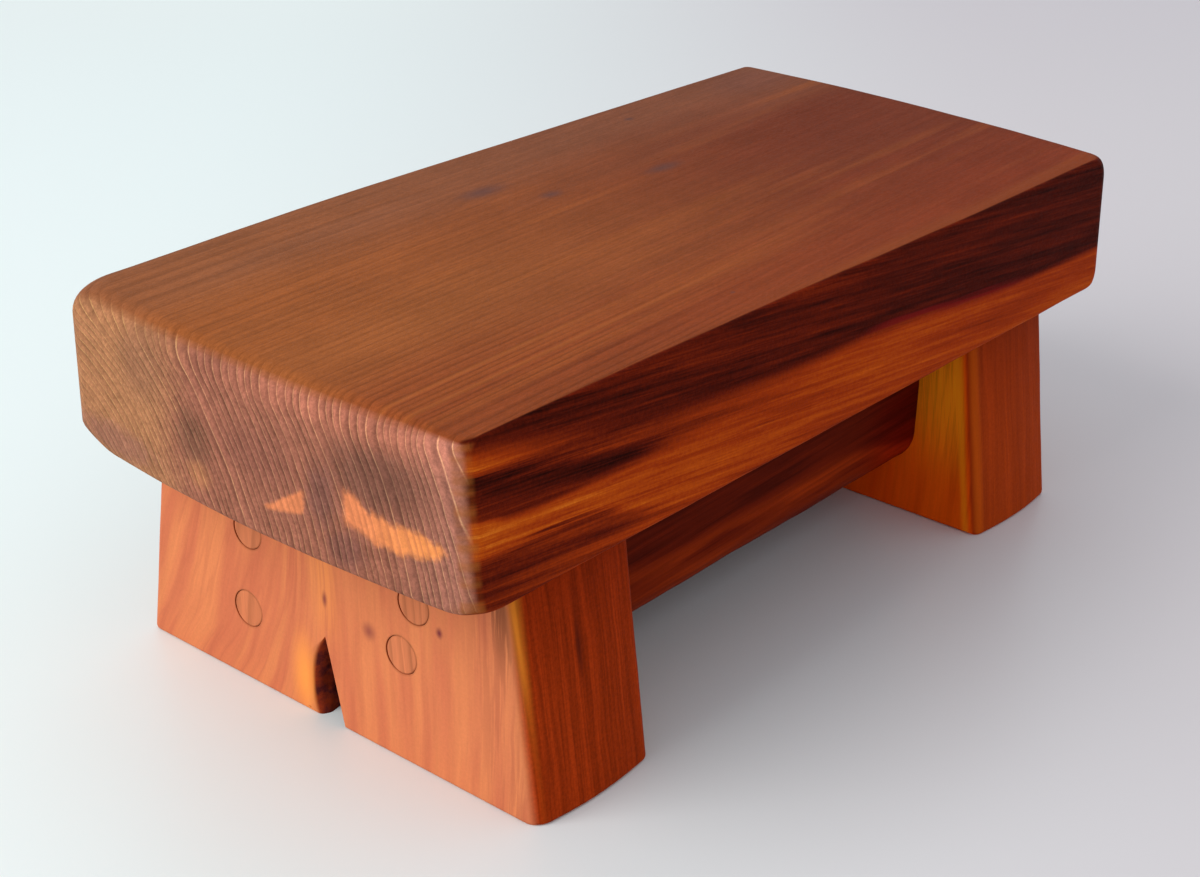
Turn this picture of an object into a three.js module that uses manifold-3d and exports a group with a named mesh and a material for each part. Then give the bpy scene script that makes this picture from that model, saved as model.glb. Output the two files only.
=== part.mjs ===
// A low footstool of oiled red softwood. A thick seat slab lies on two tapered board legs, and two rails
// under the seat tie the legs together. Screws through the legs hold the rails, each under a wooden plug,
// and dowels hold the seat on the legs. Millimetres, +Z up, X along the seat, Y from its front to its back.
// The origin is on the floor under the middle of the seat.

import * as THREE from "three";
import { mergeVertices } from "three/addons/utils/BufferGeometryUtils.js";
import Module from "manifold-3d";

const wasm = await Module();
wasm.setup();

// Seat slab
const seatHeight = 134;
const seatLength = 368;
const seatWidth = 178;
const seatThickness = 52;
const seatEndBow = 4; // how far the left end swells out at its middle
const seatFarBow = 4.7; // and the right end
const seatFarSkew = 5.5; // how much further the right end reaches at the back than at the front
const seatBackTaper = 1.3; // how much narrower the slab is at the back of its left end
const seatFrontLean = 1; // how much further back the front face stands at its top than at its foot
const seatNearLean = 3.9; // what the left end adds to that lean, as planed by hand
const seatNearLeanReach = 85; // how far along the front that addition reaches
const seatEndRound = 9; // rounding of the ends' top edges
const seatSharpEndRound = 4; // and at the front left and back right corners, where it is sharper
const seatSharpReach = 18; // how far from the front left corner that goes
const seatFrontRound = 1.6; // the front's top edge is left nearly sharp
const seatBackRound = 3;
const seatWornBackRound = 9; // rounding of the back's top edge at the left end, which is more worn
const seatWornReach = 75; // how far along the back that goes
const seatUnderRound = 2.5; // rounding of the lower edges
const seatFarUnderRound = 7; // and of the right end's lower edge
const seatBevelWidth = 16; // natural bevel along the back's lower edge
const seatBevelHeight = 7;
const seatBevelHollow = 1.3; // 1 is a flat bevel, more hollows it out
const seatNearCorner = 6; // corners of the plan: front left, front right, back right and back left
const seatFarFrontCorner = 8;
const seatFarBackCorner = 3;
const seatWornCorner = 14;

// Legs
const legSpread = 304; // from the outer face of one leg to that of the other
const legThickness = 53;
const legFootWidth = 181;
const legTopWidth = 156;
const legCorner = 4.5; // rounding of the upright edges
const legWornCorner = 7; // the left leg's outer front edge is rounder
const legSideBow = 1.5; // how far the narrow sides swell out at their middle
const legFootEase = 1.5; // easing of the edges that meet the floor

// Notch that a bark pocket left in the left leg's foot
const notchHeight = 31;
const notchAside = 0.9; // how far behind the leg's middle its tip stands
const notchFrontReach = 7.7; // from the notch's tip to its front wall at the floor
const notchBackReach = 3.1; // from the notch's tip to its back wall at the floor
const notchBelly = 7.6; // how far the back wall's curve is drawn out, low down and near the tip
const notchShoulder = 5.1;
const notchBellyRise = 10;
const notchShoulderRise = 22;
const notchLip = 4; // rounding of the back wall's outer edge
const notchInnerShare = 0.45; // size of the notch at the inner face, as a share of that at the outer one

// Rails
const railThickness = 41;
const railOffset = 37; // from the middle of the stool to the middle of each rail
const frontRailFloorGap = 19.5;
const backRailFloorGap = 14;
const frontRailRound = 15; // rounding of the front rail's lower front edge
const railEase = 2;

// Screws in the rails' ends: how far each stands aside from its rail's middle, and the share of the rail's
// height at which it stands
const frontUpperScrew = { aside: -1.1, share: 0.601 };
const frontLowerScrew = { aside: 4.3, share: 0.293 };
const backUpperScrew = { aside: -1.4, share: 0.617 };
const backLowerScrew = { aside: 0, share: 0.192 };
const screwLength = 75;
const screwDiameter = 4.8;
const screwHeadDiameter = 9.4;
const screwHeadHeight = 2.7;
const screwHeadRim = 0.3; // the straight rim round the head, above its cone
const screwTipLength = 7;
const driveWidth = 1.4; // one arm of the cross recess in the head
const driveLength = 4.6;
const driveDepth = 1.8;

// Plugs over the screws
const plugDiameter = 12.7;
const plugLength = 9.6;

// Dowels between the legs and the seat
const dowelDiameter = 12.7;
const dowelLength = 50;
const dowelEase = 1.2;
const dowelInset = 20; // from the edge of the leg's top to the dowel's middle

// Clearances
const glueLine = 0.1; // between two glued or seated faces
const boreClearance = 0.15; // round each plug and dowel
const screwClearance = 0.2; // round each screw
const dowelEndRoom = 0.5; // left for glue at each end of a dowel
const cutPast = 1; // how far a cutter reaches past the face that it opens

// Facets
const curveSegments = 6;
const roundSegments = 20;
const roundingSteps = 7;
const easingSteps = 3;
const leastStep = 0.01; // layers closer than this are one
const arcFullness = 0.5523; // the share at which a Bezier curve comes closest to a quarter circle

// Sizes that follow
const legHeight = seatHeight - seatThickness - glueLine;
const legMiddle = (legSpread - legThickness) / 2;
const railLength = 2 * (legMiddle - legThickness / 2 - glueLine);
const boreDepth = plugLength + glueLine;
const dowelReach = dowelLength / 2;

// Materials

function timber(colour, roughness) {
  return new THREE.MeshStandardMaterial({ color: colour, roughness, metalness: 0 });
}

function seatTimber() {
  return timber(0x8a4526, 0.45);
}

function legTimber() {
  return timber(0xc66f3a, 0.45);
}

function farLegTimber() {
  return timber(0xa9561f, 0.5);
}

function railTimber() {
  return timber(0x6a2416, 0.5);
}

function plugTimber() {
  return timber(0xb96a42, 0.45);
}

function dowelTimber() {
  return timber(0xcfa878, 0.7);
}

function zincedSteel() {
  return new THREE.MeshStandardMaterial({ color: 0xb8b4a4, roughness: 0.35, metalness: 1 });
}

// Solids

// A closed solid for cutting and joining, with its shared vertices merged.
function solidOf(geometry) {
  const bare = geometry.clone();
  bare.deleteAttribute("normal");
  bare.deleteAttribute("uv");
  const merged = mergeVertices(bare, 1e-4);
  return new wasm.Manifold(
    new wasm.Mesh({
      numProp: 3,
      vertProperties: merged.getAttribute("position").array,
      triVerts: new Uint32Array(merged.index.array),
    }),
  );
}

function meshOf(name, solid, material) {
  const { vertProperties, triVerts } = solid.getMesh();
  const geometry = new THREE.BufferGeometry();
  geometry.setAttribute("position", new THREE.BufferAttribute(vertProperties, 3));
  geometry.setIndex(new THREE.BufferAttribute(triVerts, 1));
  geometry.computeVertexNormals();
  const mesh = new THREE.Mesh(geometry, material);
  mesh.name = name;
  return mesh;
}

// The first solid with all the others cut out of it.
function cutFrom(solid, cutters) {
  return cutters.reduce((left, cutter) => left.subtract(cutter), solid);
}

// Outlines

// A closed outline through corners { x, y, round, bow }. Each corner is rounded off, and a bow swells the
// side that leads to the corner outwards at its middle. A side with a bow is drawn in steps, also where the
// bow is 0. The corners run counter-clockwise.
function easedOutline(corners) {
  const points = corners.map(({ x, y }) => new THREE.Vector2(x, y));
  const next = (i) => (i + 1) % corners.length;
  const along = points.map((point, i) => points[next(i)].clone().sub(point).normalize());
  const enter = corners.map(({ round }, i) => {
    const before = along[(i + corners.length - 1) % corners.length];
    return points[i].clone().addScaledVector(before, -round);
  });
  const leave = corners.map(({ round }, i) => points[i].clone().addScaledVector(along[i], round));
  const shape = new THREE.Shape();
  shape.moveTo(leave[0].x, leave[0].y);
  for (let i = 0; i < corners.length; i += 1) {
    const end = next(i);
    const { bow } = corners[end];
    if (bow !== undefined) {
      // The curve swells half as far as its middle point is pulled out.
      const outward = new THREE.Vector2(along[i].y, -along[i].x);
      const pull = leave[i].clone().lerp(enter[end], 0.5).addScaledVector(outward, 2 * bow);
      shape.quadraticCurveTo(pull.x, pull.y, enter[end].x, enter[end].y);
    } else {
      shape.lineTo(enter[end].x, enter[end].y);
    }
    const first = enter[end].clone().lerp(points[end], arcFullness);
    const second = leave[end].clone().lerp(points[end], arcFullness);
    shape.bezierCurveTo(first.x, first.y, second.x, second.y, leave[end].x, leave[end].y);
  }
  return shape;
}

// An outline stacked at the given heights. At each height, place(height) gives the rule that turns a point of
// the outline into a point of that layer.
function lofted(outline, heights, place) {
  const steps = heights.length - 1;
  const geometry = new THREE.ExtrudeGeometry(outline, {
    depth: steps,
    steps,
    bevelEnabled: false,
    curveSegments,
  });
  const rules = heights.map(place);
  const points = geometry.getAttribute("position");
  for (let i = 0; i < points.count; i += 1) {
    const layer = Math.round(points.getZ(i));
    const [x, y] = rules[layer](points.getX(i), points.getY(i));
    points.setXYZ(i, x, y, heights[layer]);
  }
  return geometry;
}

// An outline drawn in Y and Z, extruded along X about the middle.
function extrudedAlongX(outline, length) {
  const geometry = new THREE.ExtrudeGeometry(outline, { depth: length, bevelEnabled: false, curveSegments });
  geometry.translate(0, 0, -length / 2);
  geometry.rotateZ(Math.PI / 2);
  geometry.rotateY(Math.PI / 2);
  return geometry;
}

// A round bore along X, from one depth to another, cut by a cylinder about the given place.
function boreAlongX(from, to, radius, y, z) {
  const geometry = new THREE.CylinderGeometry(radius, radius, Math.abs(to - from), roundSegments);
  geometry.rotateZ(Math.PI / 2);
  geometry.translate((from + to) / 2, y, z);
  return solidOf(geometry);
}

// A round bore along Z, between two heights, about the given place.
function boreAlongZ(bottom, top, radius, x, y) {
  const geometry = new THREE.CylinderGeometry(radius, radius, top - bottom, roundSegments);
  geometry.rotateX(Math.PI / 2);
  geometry.translate(x, y, (top + bottom) / 2);
  return solidOf(geometry);
}

// How far a rounding of the given radius stands back, at a distance from the face that it runs into.
function roundedBack(radius, distance) {
  if (distance >= radius) {
    return 0;
  }
  return radius - Math.sqrt(radius ** 2 - (radius - Math.max(distance, 0)) ** 2);
}

// Shares from 0 to 1 in even steps.
function evenShares(steps) {
  return Array.from({ length: steps + 1 }, (_, i) => i / steps);
}

// Heights for a rounding at both ends of a stretch, closer together where the rounding turns flatter.
function roundedHeights(height, lowerRadius, upperRadius) {
  const turns = evenShares(roundingSteps).map((share) => (share * Math.PI) / 2);
  const lower = turns.map((turn) => lowerRadius * (1 - Math.cos(turn)));
  const upper = turns.map((turn) => height - upperRadius * (1 - Math.sin(turn)));
  return [...lower, ...upper];
}

// The heights from the lowest to the highest, with those that nearly meet taken as one.
function inOrder(heights) {
  const rising = [...heights].sort((a, b) => a - b);
  return rising.filter((height, i) => i === 0 || height - rising[i - 1] > leastStep);
}

// Where screws and dowels sit

function screwPlace(name, railMiddle, floorGap, { aside, share }) {
  return { name, y: railMiddle + aside, z: floorGap + (legHeight - floorGap) * share };
}

const screwPlaces = [
  screwPlace("front_upper", -railOffset, frontRailFloorGap, frontUpperScrew),
  screwPlace("front_lower", -railOffset, frontRailFloorGap, frontLowerScrew),
  screwPlace("back_upper", railOffset, backRailFloorGap, backUpperScrew),
  screwPlace("back_lower", railOffset, backRailFloorGap, backLowerScrew),
];

const dowelPlaces = [
  { name: "front", y: -(legTopWidth / 2 - dowelInset) },
  { name: "back", y: legTopWidth / 2 - dowelInset },
];

// Seat

// Where the right end's front corner lies along X, so that the swelling of that slanted end reaches the
// slab's full length. The swelling runs from the end of one corner's rounding to the start of the other's.
// An end that slants more than it swells reaches furthest at the back.
function farFrontCornerX() {
  const skewWithin = seatFarSkew * (1 - (seatFarFrontCorner + seatFarBackCorner) / seatWidth);
  const fullBow = 4 * seatFarBow;
  const reach = fullBow > skewWithin ? (skewWithin + fullBow) ** 2 / (4 * fullBow) : skewWithin;
  return seatLength / 2 - reach - (seatFarSkew * seatFarFrontCorner) / seatWidth;
}

// The slab's plan, whose ends swell out between its corners.
function seatPlan() {
  const halfWidth = seatWidth / 2;
  const nearCorner = seatLength / 2 - seatEndBow;
  const farCorner = farFrontCornerX();
  return easedOutline([
    { x: -nearCorner, y: -halfWidth, round: seatNearCorner, bow: seatEndBow },
    { x: farCorner, y: -halfWidth, round: seatFarFrontCorner, bow: 0 },
    { x: farCorner + seatFarSkew, y: halfWidth, round: seatFarBackCorner, bow: seatFarBow },
    { x: -nearCorner, y: halfWidth - seatBackTaper, round: seatWornCorner, bow: 0 },
  ]);
}

// How far the back's bevel and the rounding above it stand back at a height over the underside.
function bevelBack(up) {
  if (up >= seatBevelHeight) {
    return 0;
  }
  return seatBevelWidth * (1 - up / seatBevelHeight) ** seatBevelHollow;
}

// How far the front's top edge leans back at a place along the seat: most beside the left end.
function frontLean(x) {
  const fromLeft = (x + seatLength / 2) / seatNearLeanReach;
  return seatFrontLean + seatNearLean * Math.exp(-(fromLeft ** 2));
}

// The rounding of an end's top edge. The left end's turns sharper beside the front corner, and the right
// end's all the way from the front to the back.
function endRound(x, y) {
  const fromFront = y + seatWidth / 2;
  const sharpness = x < 0 ? Math.exp(-((fromFront / seatSharpReach) ** 2)) : fromFront / seatWidth;
  return seatEndRound + (seatSharpEndRound - seatEndRound) * sharpness;
}

// The rounding of the back's top edge, which is more worn towards the left end.
function backRound(x) {
  const fromLeft = (x + seatLength / 2) / seatWornReach;
  return seatBackRound + (seatWornBackRound - seatBackRound) * Math.exp(-(fromLeft ** 2));
}

// Each layer of the slab is its plan, made shorter and narrower by the roundings that reach that layer.
function seatLayer(height) {
  const up = height;
  const down = seatThickness - height;
  const frontRound = roundedBack(seatFrontRound, down) + roundedBack(seatUnderRound, up);
  return (x, y) => {
    const underRound = x < 0 ? seatUnderRound : seatFarUnderRound;
    const end = roundedBack(endRound(x, y), down) + roundedBack(underRound, up);
    const front = frontRound + frontLean(x) * (up / seatThickness);
    const back = roundedBack(backRound(x), down) + bevelBack(up);
    const widthShare = 1 - (front + back) / seatWidth;
    return [x * (1 - end / (seatLength / 2)), y * widthShare + (front - back) / 2];
  };
}

function seatSlab() {
  const lowerRound = Math.max(seatUnderRound, seatFarUnderRound);
  const upperRound = Math.max(seatEndRound, seatWornBackRound);
  const heights = inOrder([...roundedHeights(seatThickness, lowerRound, upperRound), seatBevelHeight]);
  const slab = lofted(seatPlan(), heights, seatLayer);
  const holes = [-legMiddle, legMiddle].flatMap((x) =>
    dowelPlaces.map(({ y }) => {
      const radius = dowelDiameter / 2 + boreClearance;
      return boreAlongZ(-cutPast, dowelReach + dowelEndRoom, radius, x, y);
    }),
  );
  return meshOf("seat_slab", cutFrom(solidOf(slab), holes), seatTimber());
}

// Legs

// A leg's plan at the floor. Its outer face looks along outward, which is -1 on the left leg and 1 on the
// right one.
function legPlan(outward, outerFrontCorner) {
  const halfThickness = legThickness / 2;
  const halfWidth = legFootWidth / 2 - legSideBow;
  const leftFront = outward < 0 ? outerFrontCorner : legCorner;
  const rightFront = outward < 0 ? legCorner : outerFrontCorner;
  return easedOutline([
    { x: -halfThickness, y: -halfWidth, round: leftFront },
    { x: halfThickness, y: -halfWidth, round: rightFront, bow: legSideBow },
    { x: halfThickness, y: halfWidth, round: legCorner },
    { x: -halfThickness, y: halfWidth, round: legCorner, bow: legSideBow },
  ]);
}

// Each layer of a leg is its plan, narrowed by the taper and drawn in all round where the foot is eased.
function legLayer(height) {
  const width = legFootWidth + (legTopWidth - legFootWidth) * (height / legHeight);
  const ease = roundedBack(legFootEase, height);
  const widthShare = (width - 2 * ease) / legFootWidth;
  const thicknessShare = 1 - (2 * ease) / legThickness;
  return (x, y) => [x * thicknessShare, y * widthShare];
}

function legBoard(outward, outerFrontCorner) {
  const eased = evenShares(easingSteps).map((share) => legFootEase * share);
  return lofted(legPlan(outward, outerFrontCorner), [...eased, legHeight], legLayer);
}

// The bark pocket's outline in Y and Z: a straight front wall up to the tip, and a bellied back wall.
function notchOutline() {
  const shape = new THREE.Shape();
  shape.moveTo(-notchFrontReach, 0);
  shape.lineTo(-notchFrontReach, -cutPast);
  shape.lineTo(notchBackReach, -cutPast);
  shape.lineTo(notchBackReach, 0);
  shape.bezierCurveTo(notchBelly, notchBellyRise, notchShoulder, notchShoulderRise, 0, notchHeight);
  return shape;
}

// The notch runs right through the leg. It narrows towards the inner face, and its back lip is rounded.
function notchCutter(outward) {
  const lipDepths = evenShares(easingSteps).map((share) => notchLip * share);
  const depths = [-cutPast, ...lipDepths, legThickness + cutPast];
  const geometry = lofted(notchOutline(), depths, (depth) => {
    const inward = Math.min(Math.max(depth / legThickness, 0), 1);
    const share = 1 - (1 - notchInnerShare) * inward;
    const flare = roundedBack(notchLip, depth);
    return (y, z) => [y * share + (y > 0 ? flare : 0), z * (z > 0 ? share : 1)];
  });
  geometry.rotateZ(Math.PI / 2);
  geometry.rotateY(Math.PI / 2);
  geometry.translate(-legThickness / 2, 0, 0);
  if (outward > 0) {
    geometry.rotateZ(Math.PI);
  }
  geometry.translate(0, notchAside, 0);
  return solidOf(geometry);
}

// The outline of a screw from its tip up to its head, grown all round where it is cut out as a hole.
function screwProfile(grow) {
  const head = screwHeadDiameter / 2 + grow;
  const shank = screwDiameter / 2 + grow;
  return [
    new THREE.Vector2(0, -screwLength - grow),
    new THREE.Vector2(shank, -(screwLength - screwTipLength)),
    new THREE.Vector2(shank, -screwHeadHeight - grow),
    new THREE.Vector2(head, -screwHeadRim - grow),
    new THREE.Vector2(head, 0),
    new THREE.Vector2(0, 0),
  ];
}

// The hole of one screw, in the frame of a piece whose middle lies at middle, y and z.
function screwHole(outward, middle, place) {
  const geometry = new THREE.LatheGeometry(screwProfile(screwClearance), roundSegments);
  geometry.rotateZ((-outward * Math.PI) / 2);
  const head = outward * (legMiddle + legThickness / 2 - boreDepth);
  geometry.translate(head - middle.x, place.y - middle.y, place.z - middle.z);
  return solidOf(geometry);
}

// The bores that the plugs close, with the screws' holes below them.
function legBores(outward) {
  const middle = new THREE.Vector3(outward * legMiddle, 0, 0);
  const face = (outward * legThickness) / 2;
  const floor = face - outward * boreDepth;
  return screwPlaces.flatMap((place) => [
    boreAlongX(face + outward * cutPast, floor, plugDiameter / 2 + boreClearance, place.y, place.z),
    screwHole(outward, middle, place),
  ]);
}

function dowelHoles() {
  const radius = dowelDiameter / 2 + boreClearance;
  const bottom = legHeight - dowelReach - dowelEndRoom;
  return dowelPlaces.map(({ y }) => boreAlongZ(bottom, legHeight + cutPast, radius, 0, y));
}

// Fastenings

// A countersunk wood screw along X, its head at the origin and its tip pointing away from outward.
function screw(outward) {
  const body = solidOf(new THREE.LatheGeometry(screwProfile(0), roundSegments));
  const arms = [0, Math.PI / 2].map((turn) => {
    const arm = new THREE.BoxGeometry(driveLength, 2 * driveDepth, driveWidth);
    arm.rotateY(turn);
    return solidOf(arm);
  });
  const mesh = meshOf("screw", cutFrom(body, arms), zincedSteel());
  mesh.rotation.z = (-outward * Math.PI) / 2;
  return mesh;
}

function plug(outward) {
  const geometry = new THREE.CylinderGeometry(plugDiameter / 2, plugDiameter / 2, plugLength, roundSegments);
  geometry.rotateZ(Math.PI / 2);
  geometry.translate((-outward * plugLength) / 2, 0, 0);
  return meshOf("plug", solidOf(geometry), plugTimber());
}

// A plain dowel along Z about the origin, with its ends eased.
function dowel() {
  const radius = dowelDiameter / 2;
  const profile = [
    new THREE.Vector2(0, -dowelReach),
    new THREE.Vector2(radius - dowelEase, -dowelReach),
    new THREE.Vector2(radius, -dowelReach + dowelEase),
    new THREE.Vector2(radius, dowelReach - dowelEase),
    new THREE.Vector2(radius - dowelEase, dowelReach),
    new THREE.Vector2(0, dowelReach),
  ];
  const geometry = new THREE.LatheGeometry(profile, roundSegments);
  geometry.rotateX(Math.PI / 2);
  return meshOf("dowel", solidOf(geometry), dowelTimber());
}

// A leg with its plugs, screws and dowels, in one group that stands at the leg's middle.
function legAssembly(side, outward, material, outerFrontCorner, cutters) {
  const group = new THREE.Group();
  group.position.x = outward * legMiddle;
  const board = solidOf(legBoard(outward, outerFrontCorner));
  const cut = cutFrom(board, [...legBores(outward), ...dowelHoles(), ...cutters]);
  group.add(meshOf(`${side}_leg`, cut, material));
  const face = (outward * legThickness) / 2;
  for (const { name, y, z } of screwPlaces) {
    const cover = plug(outward);
    cover.name = `${side}_${name}_plug`;
    cover.position.set(face, y, z);
    const fixing = screw(outward);
    fixing.name = `${side}_${name}_screw`;
    fixing.position.set(face - outward * boreDepth, y, z);
    group.add(cover, fixing);
  }
  for (const { name, y } of dowelPlaces) {
    const pin = dowel();
    pin.name = `${side}_${name}_dowel`;
    pin.position.set(0, y, legHeight);
    group.add(pin);
  }
  return group;
}

// Rails

// A rail's section in Y and Z about its own middle, standing on its lower edge.
function railSection(height, lowerFrontRound) {
  const half = railThickness / 2;
  return easedOutline([
    { x: -half, y: 0, round: lowerFrontRound },
    { x: half, y: 0, round: railEase },
    { x: half, y: height, round: railEase },
    { x: -half, y: height, round: railEase },
  ]);
}

function rail(name, y, floorGap, lowerFrontRound, rows) {
  const height = legHeight - floorGap;
  const middle = new THREE.Vector3(0, y, floorGap);
  const body = solidOf(extrudedAlongX(railSection(height, lowerFrontRound), railLength));
  const bores = [-1, 1].flatMap((outward) => rows.map((place) => screwHole(outward, middle, place)));
  const mesh = meshOf(name, cutFrom(body, bores), railTimber());
  mesh.position.copy(middle);
  return mesh;
}

// The whole stool

const footstool = new THREE.Group();

const seat = seatSlab();
seat.position.z = seatHeight - seatThickness;
footstool.add(seat);

footstool.add(legAssembly("left", -1, legTimber(), legWornCorner, [notchCutter(-1)]));
footstool.add(legAssembly("right", 1, farLegTimber(), legCorner, []));

const frontRows = screwPlaces.filter(({ name }) => name.startsWith("front"));
const backRows = screwPlaces.filter(({ name }) => name.startsWith("back"));
footstool.add(rail("front_rail", -railOffset, frontRailFloorGap, frontRailRound, frontRows));
footstool.add(rail("back_rail", railOffset, backRailFloorGap, railEase, backRows));

export default footstool;
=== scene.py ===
"""Dresses the low wooden footstool: a slab seat on two tapered board legs, tied by two rails.

The seat, legs, rails and plugs are surfaces worked out as whole arrays and put in the places of their
plain nodes. The hidden screws and dowels keep their nodes and get a finish. Sizes are in millimetres until
a mesh is made, and the patterns of the timber read the place on the object in millimetres too.
"""

import bpy
import numpy as np
from mathutils import Matrix, Vector
from mathutils.geometry import delaunay_2d_cdt


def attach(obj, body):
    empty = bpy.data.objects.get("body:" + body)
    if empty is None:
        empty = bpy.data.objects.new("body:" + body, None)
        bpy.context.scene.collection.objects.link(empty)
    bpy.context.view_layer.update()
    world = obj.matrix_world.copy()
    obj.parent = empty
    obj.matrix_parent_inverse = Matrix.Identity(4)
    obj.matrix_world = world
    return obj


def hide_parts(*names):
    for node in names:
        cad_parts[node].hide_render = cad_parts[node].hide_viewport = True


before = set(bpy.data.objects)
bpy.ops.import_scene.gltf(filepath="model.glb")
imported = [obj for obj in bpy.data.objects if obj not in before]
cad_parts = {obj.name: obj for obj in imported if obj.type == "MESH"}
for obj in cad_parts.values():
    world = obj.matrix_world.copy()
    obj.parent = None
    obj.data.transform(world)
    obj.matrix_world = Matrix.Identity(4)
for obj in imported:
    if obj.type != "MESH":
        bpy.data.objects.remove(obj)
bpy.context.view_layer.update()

MILLIMETRE = 0.001  # in metres, which the meshes use
SAME_POINT = 0.0002  # points that lie this close are one
# How far a curve's two handles reach towards the corner, so that it is close to a quarter circle
QUARTER_HANDLE = 0.5523

# Seat
SEAT_HEIGHT, SEAT_LENGTH, SEAT_WIDTH, SEAT_THICKNESS = 134, 368, 178, 52
SEAT_UNDERSIDE = SEAT_HEIGHT - SEAT_THICKNESS
SEAT_BOW, SEAT_FAR_BOW, SEAT_FAR_SKEW, SEAT_BACK_TAPER = 4, 4.7, 5.5, 1.3
# How far the front leans back at its top: places along the seat, and the lean there
SEAT_LEANS = ((-184, 4.9), (-100, 5.1), (-30, 4.8), (20, 3.4), (60, 3.0), (100, 2.4), (184, 2.3))
SEAT_END_ROUND, SEAT_SHARP_ROUND, SEAT_SHARP_REACH = 9, 4, 18
SEAT_FRONT_ROUND, SEAT_BACK_ROUND, SEAT_WORN_ROUND, SEAT_WORN_REACH = 1.6, 3, 9, 75
SEAT_UNDER_ROUND, SEAT_FAR_UNDER_ROUND = 2.5, 7
BEVEL_WIDTH, BEVEL_HEIGHT, BEVEL_HOLLOW = 16, 7, 1.3
SEAT_CORNERS = (6, 8, 3, 14)  # front left, front right, back right, back left

# Legs
LEG_OUTSIDE, LEG_THICKNESS, LEG_HEIGHT = 152, 53, 81.9
LEG_FOOT_WIDTH, LEG_TOP_WIDTH, LEG_BOW, FOOT_EASE = 181, 156, 1.5, 1.5
LEG_CORNER, LEG_WORN_CORNER = 4.5, 7
LEG_TAPER = (LEG_FOOT_WIDTH - LEG_TOP_WIDTH) / 2 / LEG_HEIGHT
NOTCH_HEIGHT, NOTCH_ASIDE, NOTCH_FRONT, NOTCH_BACK, NOTCH_LIP, NOTCH_INNER = 31, 0.9, 7.7, 3.1, 4, 0.45
PLUG_RADIUS, PLUG_LENGTH, BORE_ROOM = 6.35, 9.6, 0.15
PLUG_PLACES = {
    "front_upper": (-38.1, 57),
    "front_lower": (-32.7, 37.8),
    "back_upper": (35.6, 55.9),
    "back_lower": (37, 27),
}
PLUG_DEPTHS = (0.02, 0.08, 0.05, 0.03)  # how deep each plug is sunk, in the same order

# Rails
RAIL_LENGTH, RAIL_THICKNESS, RAIL_OFFSET, RAIL_EASE = 197.8, 41, 37, 2
FRONT_RAIL_GAP, BACK_RAIL_GAP, FRONT_RAIL_ROUND = 19.5, 14, 15


# Shapes


def smooth_step(value, low, high):
    """0 below low, 1 above high, and 3t^2 - 2t^3 between them."""
    t = np.clip((value - low) / (high - low), 0, 1)
    return t * t * (3 - 2 * t)


def rounded_back(radius, distance):
    """How far a rounding stands back: radius - sqrt(radius^2 - (radius - distance)^2), 0 past the radius."""
    reach = np.clip(1 - np.maximum(distance, 0) / radius, 0, 1)
    return radius * (1 - np.sqrt(1 - reach**2))


def unevenness(along, seed, wave):
    """A slow wander between -1 and 1: three sines whose waves are wave, 0.43 wave and 0.21 wave long."""
    turns = 2 * np.pi * along / wave
    return (
        0.6 * np.sin(turns + 1.7 * seed)
        + 0.27 * np.sin(turns / 0.43 + 2.9 * seed)
        + 0.13 * np.sin(turns / 0.21 + 4.1 * seed)
    )


def bezier_curve(controls, shares):
    """A Bezier curve of three or four control points, at the given shares of its run."""
    controls = np.asarray(controls, float)
    t = np.asarray(shares, float)[:, None]
    if len(controls) == 3:
        weights = np.hstack([(1 - t) ** 2, 2 * t * (1 - t), t**2])
    else:
        weights = np.hstack([(1 - t) ** 3, 3 * t * (1 - t) ** 2, 3 * t**2 * (1 - t), t**3])
    return weights @ controls


def eased_outline(corners, side_steps, corner_steps):
    """A closed outline through corners (x, y, round, bow), counter-clockwise.

    Each side is a curve whose middle swells out by its bow, and each corner is a cubic curve close to a
    quarter circle, as in the plain model.
    """
    points = np.array([c[:2] for c in corners], float)
    ahead = np.roll(points, -1, axis=0) - points
    ahead /= np.linalg.norm(ahead, axis=1, keepdims=True)
    rounds = np.array([c[2] for c in corners], float)[:, None]
    enter = points - rounds * np.roll(ahead, 1, axis=0)
    leave = points + rounds * ahead
    runs = []
    for i, (_, _, _, bow) in enumerate(np.roll(np.array(corners, float), -1, axis=0)):
        end = (i + 1) % len(corners)
        outward = np.array([ahead[i, 1], -ahead[i, 0]])
        middle = (leave[i] + enter[end]) / 2 + 2 * bow * outward
        side_shares = (1 - np.cos(np.linspace(0, np.pi, side_steps[i], endpoint=False))) / 2
        runs.append(bezier_curve([leave[i], middle, enter[end]], side_shares))
        first = enter[end] + QUARTER_HANDLE * (points[end] - enter[end])
        second = leave[end] + QUARTER_HANDLE * (points[end] - leave[end])
        bend = np.linspace(0, 1, corner_steps, endpoint=False)
        runs.append(bezier_curve([enter[end], first, second, leave[end]], bend))
    return np.vstack(runs)


def grid_triangles(rows, columns, closed):
    """Two triangles for each cell of a grid of rows x columns points. A closed grid joins its last column to
    its first."""
    across = columns if closed else columns - 1
    row, column = np.meshgrid(np.arange(rows - 1), np.arange(across), indexing="ij")
    a = row * columns + column
    b = row * columns + (column + 1) % columns
    c, d = b + columns, a + columns
    return np.concatenate([np.stack([a, b, c], -1), np.stack([a, c, d], -1)]).reshape(-1, 3)


def joined(parts):
    """Points and triangles of several surfaces in one, with points that meet made one."""
    starts = np.cumsum([0] + [len(points) for points, _ in parts[:-1]])
    points = np.vstack([points for points, _ in parts])
    triangles = np.vstack([triangles + start for (_, triangles), start in zip(parts, starts)])
    _, first, same = np.unique(np.round(points / SAME_POINT), axis=0, return_index=True, return_inverse=True)
    triangles = same.reshape(-1)[triangles]
    a, b, c = triangles.T
    return points[first], triangles[(a != b) & (b != c) & (c != a)]


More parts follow.
